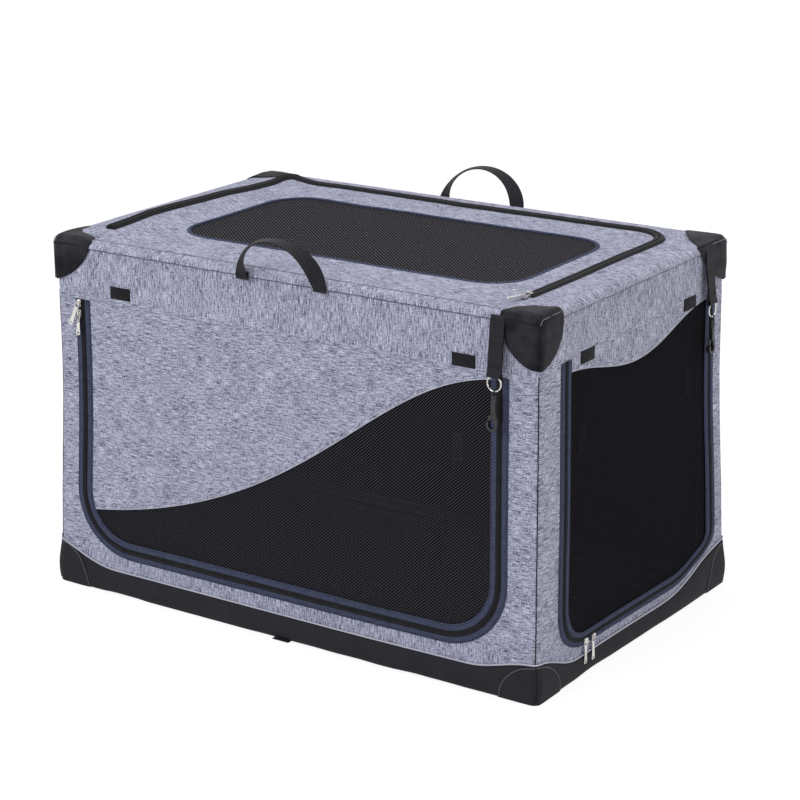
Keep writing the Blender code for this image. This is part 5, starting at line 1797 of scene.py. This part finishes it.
@dataclass
class FloorMat:
    """The padded mat on the floor: swollen by simulation, then quilted by sewn channels."""

    half_x: float = 417 * MM
    half_y: float = 247 * MM
    low: float = 4.2 * MM
    high: float = 13.5 * MM
    top: float = 19.6 * MM
    channel: float = 92 * MM
    groove_width: float = 5.5 * MM
    groove_depth: float = 3.4 * MM
    rim: float = 14 * MM
    pressure: float = 4.0
    frames: int = 20

    def swell(self, pad: bpy.types.Object, cap: float = 6 * MM) -> None:
        """Lets pressure swell the pad as cloth for twenty frames, with each point's way capped.

        Args:
            pad: the mat.
            cap: a point's longest way.
        """
        rest = np.array([v.co for v in pad.data.vertices])
        make_active(pad)
        cloth = pad.modifiers.new("stuffing", "CLOTH")
        cloth.settings.use_pressure = True
        cloth.settings.uniform_pressure_force = self.pressure
        cloth.settings.effector_weights.gravity = 0.0
        cloth.collision_settings.use_collision = False
        scene = bpy.context.scene
        for number in range(1, self.frames + 1):
            scene.frame_set(number)
        graph = bpy.context.evaluated_depsgraph_get()
        moved = np.array([v.co for v in pad.evaluated_get(graph).data.vertices])
        way = moved - rest
        length = np.linalg.norm(way, axis=1)
        way *= (np.minimum(length, cap) / np.maximum(length, 1e-12))[:, None]
        pad.modifiers.remove(cloth)
        scene.frame_set(1)
        pad.data.vertices.foreach_set("co", (rest + way).ravel())
        pad.data.update()

    def build(self) -> None:
        """Makes the mat."""
        deselect_all()
        bpy.ops.mesh.primitive_cube_add(size=1.0, location=(0, 0, (self.low + self.high) / 2))
        pad = bpy.context.active_object
        pad.name = pad.data.name = "floor_mat"
        pad.scale = (2 * self.half_x, 2 * self.half_y, self.high - self.low)
        bpy.ops.object.transform_apply(location=True, rotation=True, scale=True)
        add_modifier(pad, "BEVEL", width=4 * MM, segments=2)
        add_modifier(pad, "REMESH", mode="VOXEL", voxel_size=6 * MM)
        self.swell(pad)
        add_modifier(pad, "SUBSURF", levels=1, render_levels=1)
        at = np.array([v.co for v in pad.data.vertices])
        inner = smooth_step(0.0, self.rim, np.minimum(self.half_x - np.abs(at[:, 0]), self.half_y - np.abs(at[:, 1])))
        depth = np.zeros(len(at))
        for axis in (0, 1):
            offset = np.abs((at[:, axis] / self.channel + 0.5) % 1.0 - 0.5) * self.channel
            depth = np.maximum(depth, np.exp(-(offset / self.groove_width) ** 2))
        upper = at[:, 2] > (self.low + self.high) / 2
        at[:, 2] = np.where(upper, at[:, 2] - self.groove_depth * depth * inner, at[:, 2])
        at[:, 2] = np.clip(at[:, 2], 2.2 * MM, self.top)
        pad.data.vertices.foreach_set("co", at.ravel())
        pad.data.update()
        pad.data.materials.clear()
        pad.data.materials.append(Cloth.FLEECE.made())
        make_active(pad)
        bpy.ops.object.shade_smooth()
        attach(pad, "mat")
        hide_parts("floor_mat")


@dataclass
class Hardware:
    """The rigid parts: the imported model's own solids with their finishes."""

    finishes: tuple[tuple[str, Cloth], ...] = (
        ("_tab_", Cloth.NICKEL), ("_slider_", Cloth.NICKEL), ("rivet", Cloth.NICKEL), ("snap_hook", Cloth.ACETAL),
        ("swivel_eye", Cloth.ACETAL), ("hook_gate", Cloth.ACETAL), ("clip", Cloth.ACETAL), ("frame", Cloth.STEEL),
        ("base_ring", Cloth.STEEL), ("top_ring", Cloth.STEEL), ("front_ring", Cloth.NICKEL), ("end_ring", Cloth.NICKEL))

    def build(self) -> None:
        """Gives each solid that stays visible its finish."""
        for name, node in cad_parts.items():
            if node.hide_render:
                continue
            finish = next((made for part, made in self.finishes if part in name), Cloth.ACETAL)
            if not node.material_slots:
                node.data.materials.append(None)
            for slot in node.material_slots:
                slot.material = finish.made()


# Studio


@dataclass
class Studio:
    """Pale floor, soft light and the camera at the photograph's angle."""

    place: tuple[float, float, float] = (2.09816, -3.068, 1.49731)
    azimuth: float = math.radians(34.106)
    elevation: float = math.radians(15.752)
    roll: float = math.radians(-0.3536)
    lens: float = 107.68
    shift: float = -0.1
    world_light: float = 0.62

    def seen(self, tree: bpy.types.NodeTree) -> bpy.types.NodeSocket:
        """1 for rays from the camera, from reflections and through clear things, and 0 for rays of light.

        Args:
            tree: the world's or floor's nodes.

        Returns:
            The socket.
        """
        rays = add_node(tree, "ShaderNodeLightPath")
        first = add_node(tree, "ShaderNodeMath", {"operation": "MAXIMUM"},
                         {0: rays.outputs["Is Camera Ray"], 1: rays.outputs["Is Glossy Ray"]})
        return add_node(tree, "ShaderNodeMath", {"operation": "MAXIMUM"},
                        {0: first.outputs[0], 1: rays.outputs["Is Transmission Ray"]}).outputs[0]

    def camera(self) -> None:
        """Sets the camera from the direction, roll and lens fitted to the photograph."""
        data = bpy.data.cameras.new("camera")
        data.lens, data.sensor_width, data.clip_end, data.shift_y = self.lens, 36.0, 60.0, self.shift
        ahead = Vector((-math.sin(self.azimuth) * math.cos(self.elevation),
                        math.cos(self.azimuth) * math.cos(self.elevation), -math.sin(self.elevation)))
        right = ahead.cross(Vector((0, 0, 1))).normalized()
        up = right.cross(ahead)
        c, s = math.cos(self.roll), math.sin(self.roll)
        x, y = right * c + up * s, up * c - right * s
        camera = bpy.data.objects.new("camera", data)
        camera.matrix_world = Matrix.Translation(self.place) @ Matrix((x, y, -ahead)).transposed().to_4x4()
        bpy.context.scene.collection.objects.link(camera)
        bpy.context.scene.camera = camera

    def background(self) -> None:
        """A world that is white to the eye and to reflections, and lights the kennel softly."""
        world = bpy.data.worlds.new("studio")
        bpy.context.scene.world = world
        world.use_nodes = True
        tree = world.node_tree
        shader = tree.nodes["Background"]
        shader.inputs["Color"].default_value = (1, 1, 1, 1)
        strength = add_node(tree, "ShaderNodeMapRange", {"To Min": self.world_light, "To Max": 1.0},
                            {"Value": self.seen(tree)})
        tree.links.new(strength.outputs["Result"], shader.inputs["Strength"])

    def floor(self) -> None:
        """A white floor that keeps a faint shadow."""
        deselect_all()
        bpy.ops.mesh.primitive_plane_add(size=30.0, location=(0, 0, -0.4 * MM))
        plane = bpy.context.active_object
        plane.name = "studio_floor"
        material = bpy.data.materials.new("white studio floor")
        material.use_nodes = True
        tree = material.node_tree
        tree.nodes.remove(tree.nodes["Principled BSDF"])
        plain = add_node(tree, "ShaderNodeBsdfDiffuse", {"Color": (0.72, 0.72, 0.72, 1)})
        dim = add_node(tree, "ShaderNodeBsdfDiffuse", {"Color": (0.24, 0.24, 0.24, 1)})
        glow = add_node(tree, "ShaderNodeEmission", {"Color": (1, 1, 1, 1), "Strength": 0.85})
        white = add_node(tree, "ShaderNodeAddShader", None, {0: dim.outputs[0], 1: glow.outputs[0]})
        mixed = add_node(tree, "ShaderNodeMixShader", None,
                         {0: self.seen(tree), 1: plain.outputs[0], 2: white.outputs[0]})
        tree.links.new(mixed.outputs[0], tree.nodes["Material Output"].inputs["Surface"])
        plane.data.materials.append(material)

    def lamp(self, name: str, place: tuple[float, float, float], size: float, power: float,
             tint: tuple[float, float, float] = (1.0, 1.0, 1.0)) -> None:
        """Adds a square soft light that faces the kennel's middle.

        Args:
            name: its name.
            place: where it hangs.
            size: its edge.
            power: its watts.
            tint: its colour.
        """
        data = bpy.data.lights.new(name, "AREA")
        data.color = tint
        data.size, data.energy = size, power
        lamp = bpy.data.objects.new(name, data)
        toward = Vector((0, 0, 0.3)) - Vector(place)
        lamp.matrix_world = Matrix.Translation(place) @ toward.to_track_quat("-Z", "Y").to_matrix().to_4x4()
        bpy.context.scene.collection.objects.link(lamp)

    def build(self) -> None:
        """Sets up the studio."""
        bpy.context.scene.view_settings.view_transform = "Standard"
        self.camera()
        self.background()
        self.floor()
        self.lamp("front softbox", (-1.2, -3.6, 2.6), 2.4, 62.0)
        self.lamp("end softbox", (3.4, 0.2, 2.2), 2.2, 26.0, (1.0, 0.94, 0.84))
        self.lamp("top softbox", (0.0, 0.4, 3.4), 2.6, 20.0)


def end_wave(y: float, middle: float = 456.5 * MM) -> float:
    """Height of the end door's valance at y, a cosine rise from its middle to each side."""
    reach, rise = (210 * MM, 31 * MM) if y < 0 else (237 * MM, 44.5 * MM)
    return middle + rise * (1 - math.cos(math.pi * min(1.0, abs(y) / reach))) / 2


def main() -> None:
    """Builds the kennel's pieces in order and sets up the studio."""
    logging.basicConfig(level=logging.INFO, format="%(message)s")
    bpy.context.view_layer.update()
    wall_x, wall_y, radius, end_bottom = 452 * MM, 287 * MM, 8 * MM, 56.5 * MM
    front_calm = ((-319 * MM, 508 * MM, 0.07), (322 * MM, 508 * MM, 0.07), (-404 * MM, 470 * MM, 0.09),
                  (386 * MM, 540 * MM, 0.08))
    end_calm = ((-155 * MM, 521 * MM, 0.07), (166 * MM, 521 * MM, 0.07), (220 * MM, 540 * MM, 0.08),
                (-140 * MM, 55 * MM, 0.08))
    front = WallFace(Side.FRONT, wall_x, wall_y, radius, Ripple(1.3, calm=front_calm))
    end = WallFace(Side.END, wall_y, wall_x, radius, Ripple(5.1, calm=end_calm), pulled=24 * MM,
                   drawn_in=(end_bottom, 0.3))
    back = WallFace(Side.BACK, wall_x, wall_y, radius, Ripple(9.4))
    left = WallFace(Side.LEFT, wall_y, wall_x, radius, Ripple(12.2))
    front_zip = ZipLine(-399 * MM, 387 * MM, 79 * MM, 491.5 * MM, 96 * MM, 96 * MM)
    end_zip = ZipLine(-211.5 * MM, 241.5 * MM, end_bottom, 506.5 * MM, 72 * MM, 40 * MM)
    top = TopFace(HALF_LENGTH, HALF_WIDTH, 590 * MM, 11 * MM,
                  Ripple(17.6, 1.6 * MM, 0.5 * MM, calm=((382 * MM, -206 * MM, 0.07),),
                         peaks=((-368 * MM, 241 * MM, 32 * MM, 6 * MM),)))
    LOG.info("walls")
    FabricBody(front, end, back, left, front_zip, end_zip).build()
    LOG.info("front door")
    centre, door_radius = (-303 * MM, 175 * MM), 93 * MM
    corner = arc(centre, door_radius, math.pi, math.radians(203), 3)
    front_wave = cubic([corner[-1], *in_mm((50, 200), (160, 465), (384, 488))], 60)
    ZippedDoor("front_door", front, front_zip, front_wave, False, in_mm((-310, 370), (312, 372))).build()
    LOG.info("end door")
    edge = ZippedDoor.edge
    places = np.linspace(end_zip.left + edge, end_zip.right - edge, 61)
    wave = [(float(y), end_wave(float(y))) for y in places]
    ZippedDoor("end_door", end, end_zip, wave, True, in_mm((-155, 372), (185, 372)), Cloth.SHADED_NETTING).build()
    LOG.info("lid and top door")
    door = TopDoor(top)
    Lid(top, door.loop(1.5 * MM), door.front).build()
    door.build()
    LOG.info("caps and base")
    caps = {("front", "left"): ((82, 82, 74), (1.5, 1.6, 1.6), 0.0),
            ("back", "left"): ((68, 75, 76), (1.3, 1.6, 1.6), 0.4),
            ("front", "right"): ((69, 64, 82), (2.0, 2.3, 2.2), 1.0),
            ("back", "right"): ((77, 100, 74), (1.2, 1.45, 1.6), 0.3)}
    for ends, sx in (("left", -1), ("right", 1)):
        for face, sy in (("front", -1), ("back", 1)):
            radii, powers, notch = caps[face, ends]
            CornerCap(f"top_cap_{face}_{ends}", sx, sy, tuple(r * MM for r in radii), powers, notch).build()
    BaseTray().build()
    LOG.info("webbing")
    CarryHandle("front_handle", 2 * MM, -1, 68 * MM).build()
    CarryHandle("back_handle", -12.5 * MM, 1, 66 * MM).build()
    HangingStrap("front_strap", Matrix.Translation((386 * MM, -293.5 * MM, 577 * MM))).build()
    HangingStrap("end_strap", Matrix.Translation((458.5 * MM, 220 * MM, 577 * MM))
                 @ Matrix.Rotation(math.pi / 2, 4, "Z")).build()
    LOG.info("mat and hardware")
    FloorMat().build()
    Hardware().build()
    Studio().build()
    LOG.info("done")


if __name__ == "__main__":
    main()
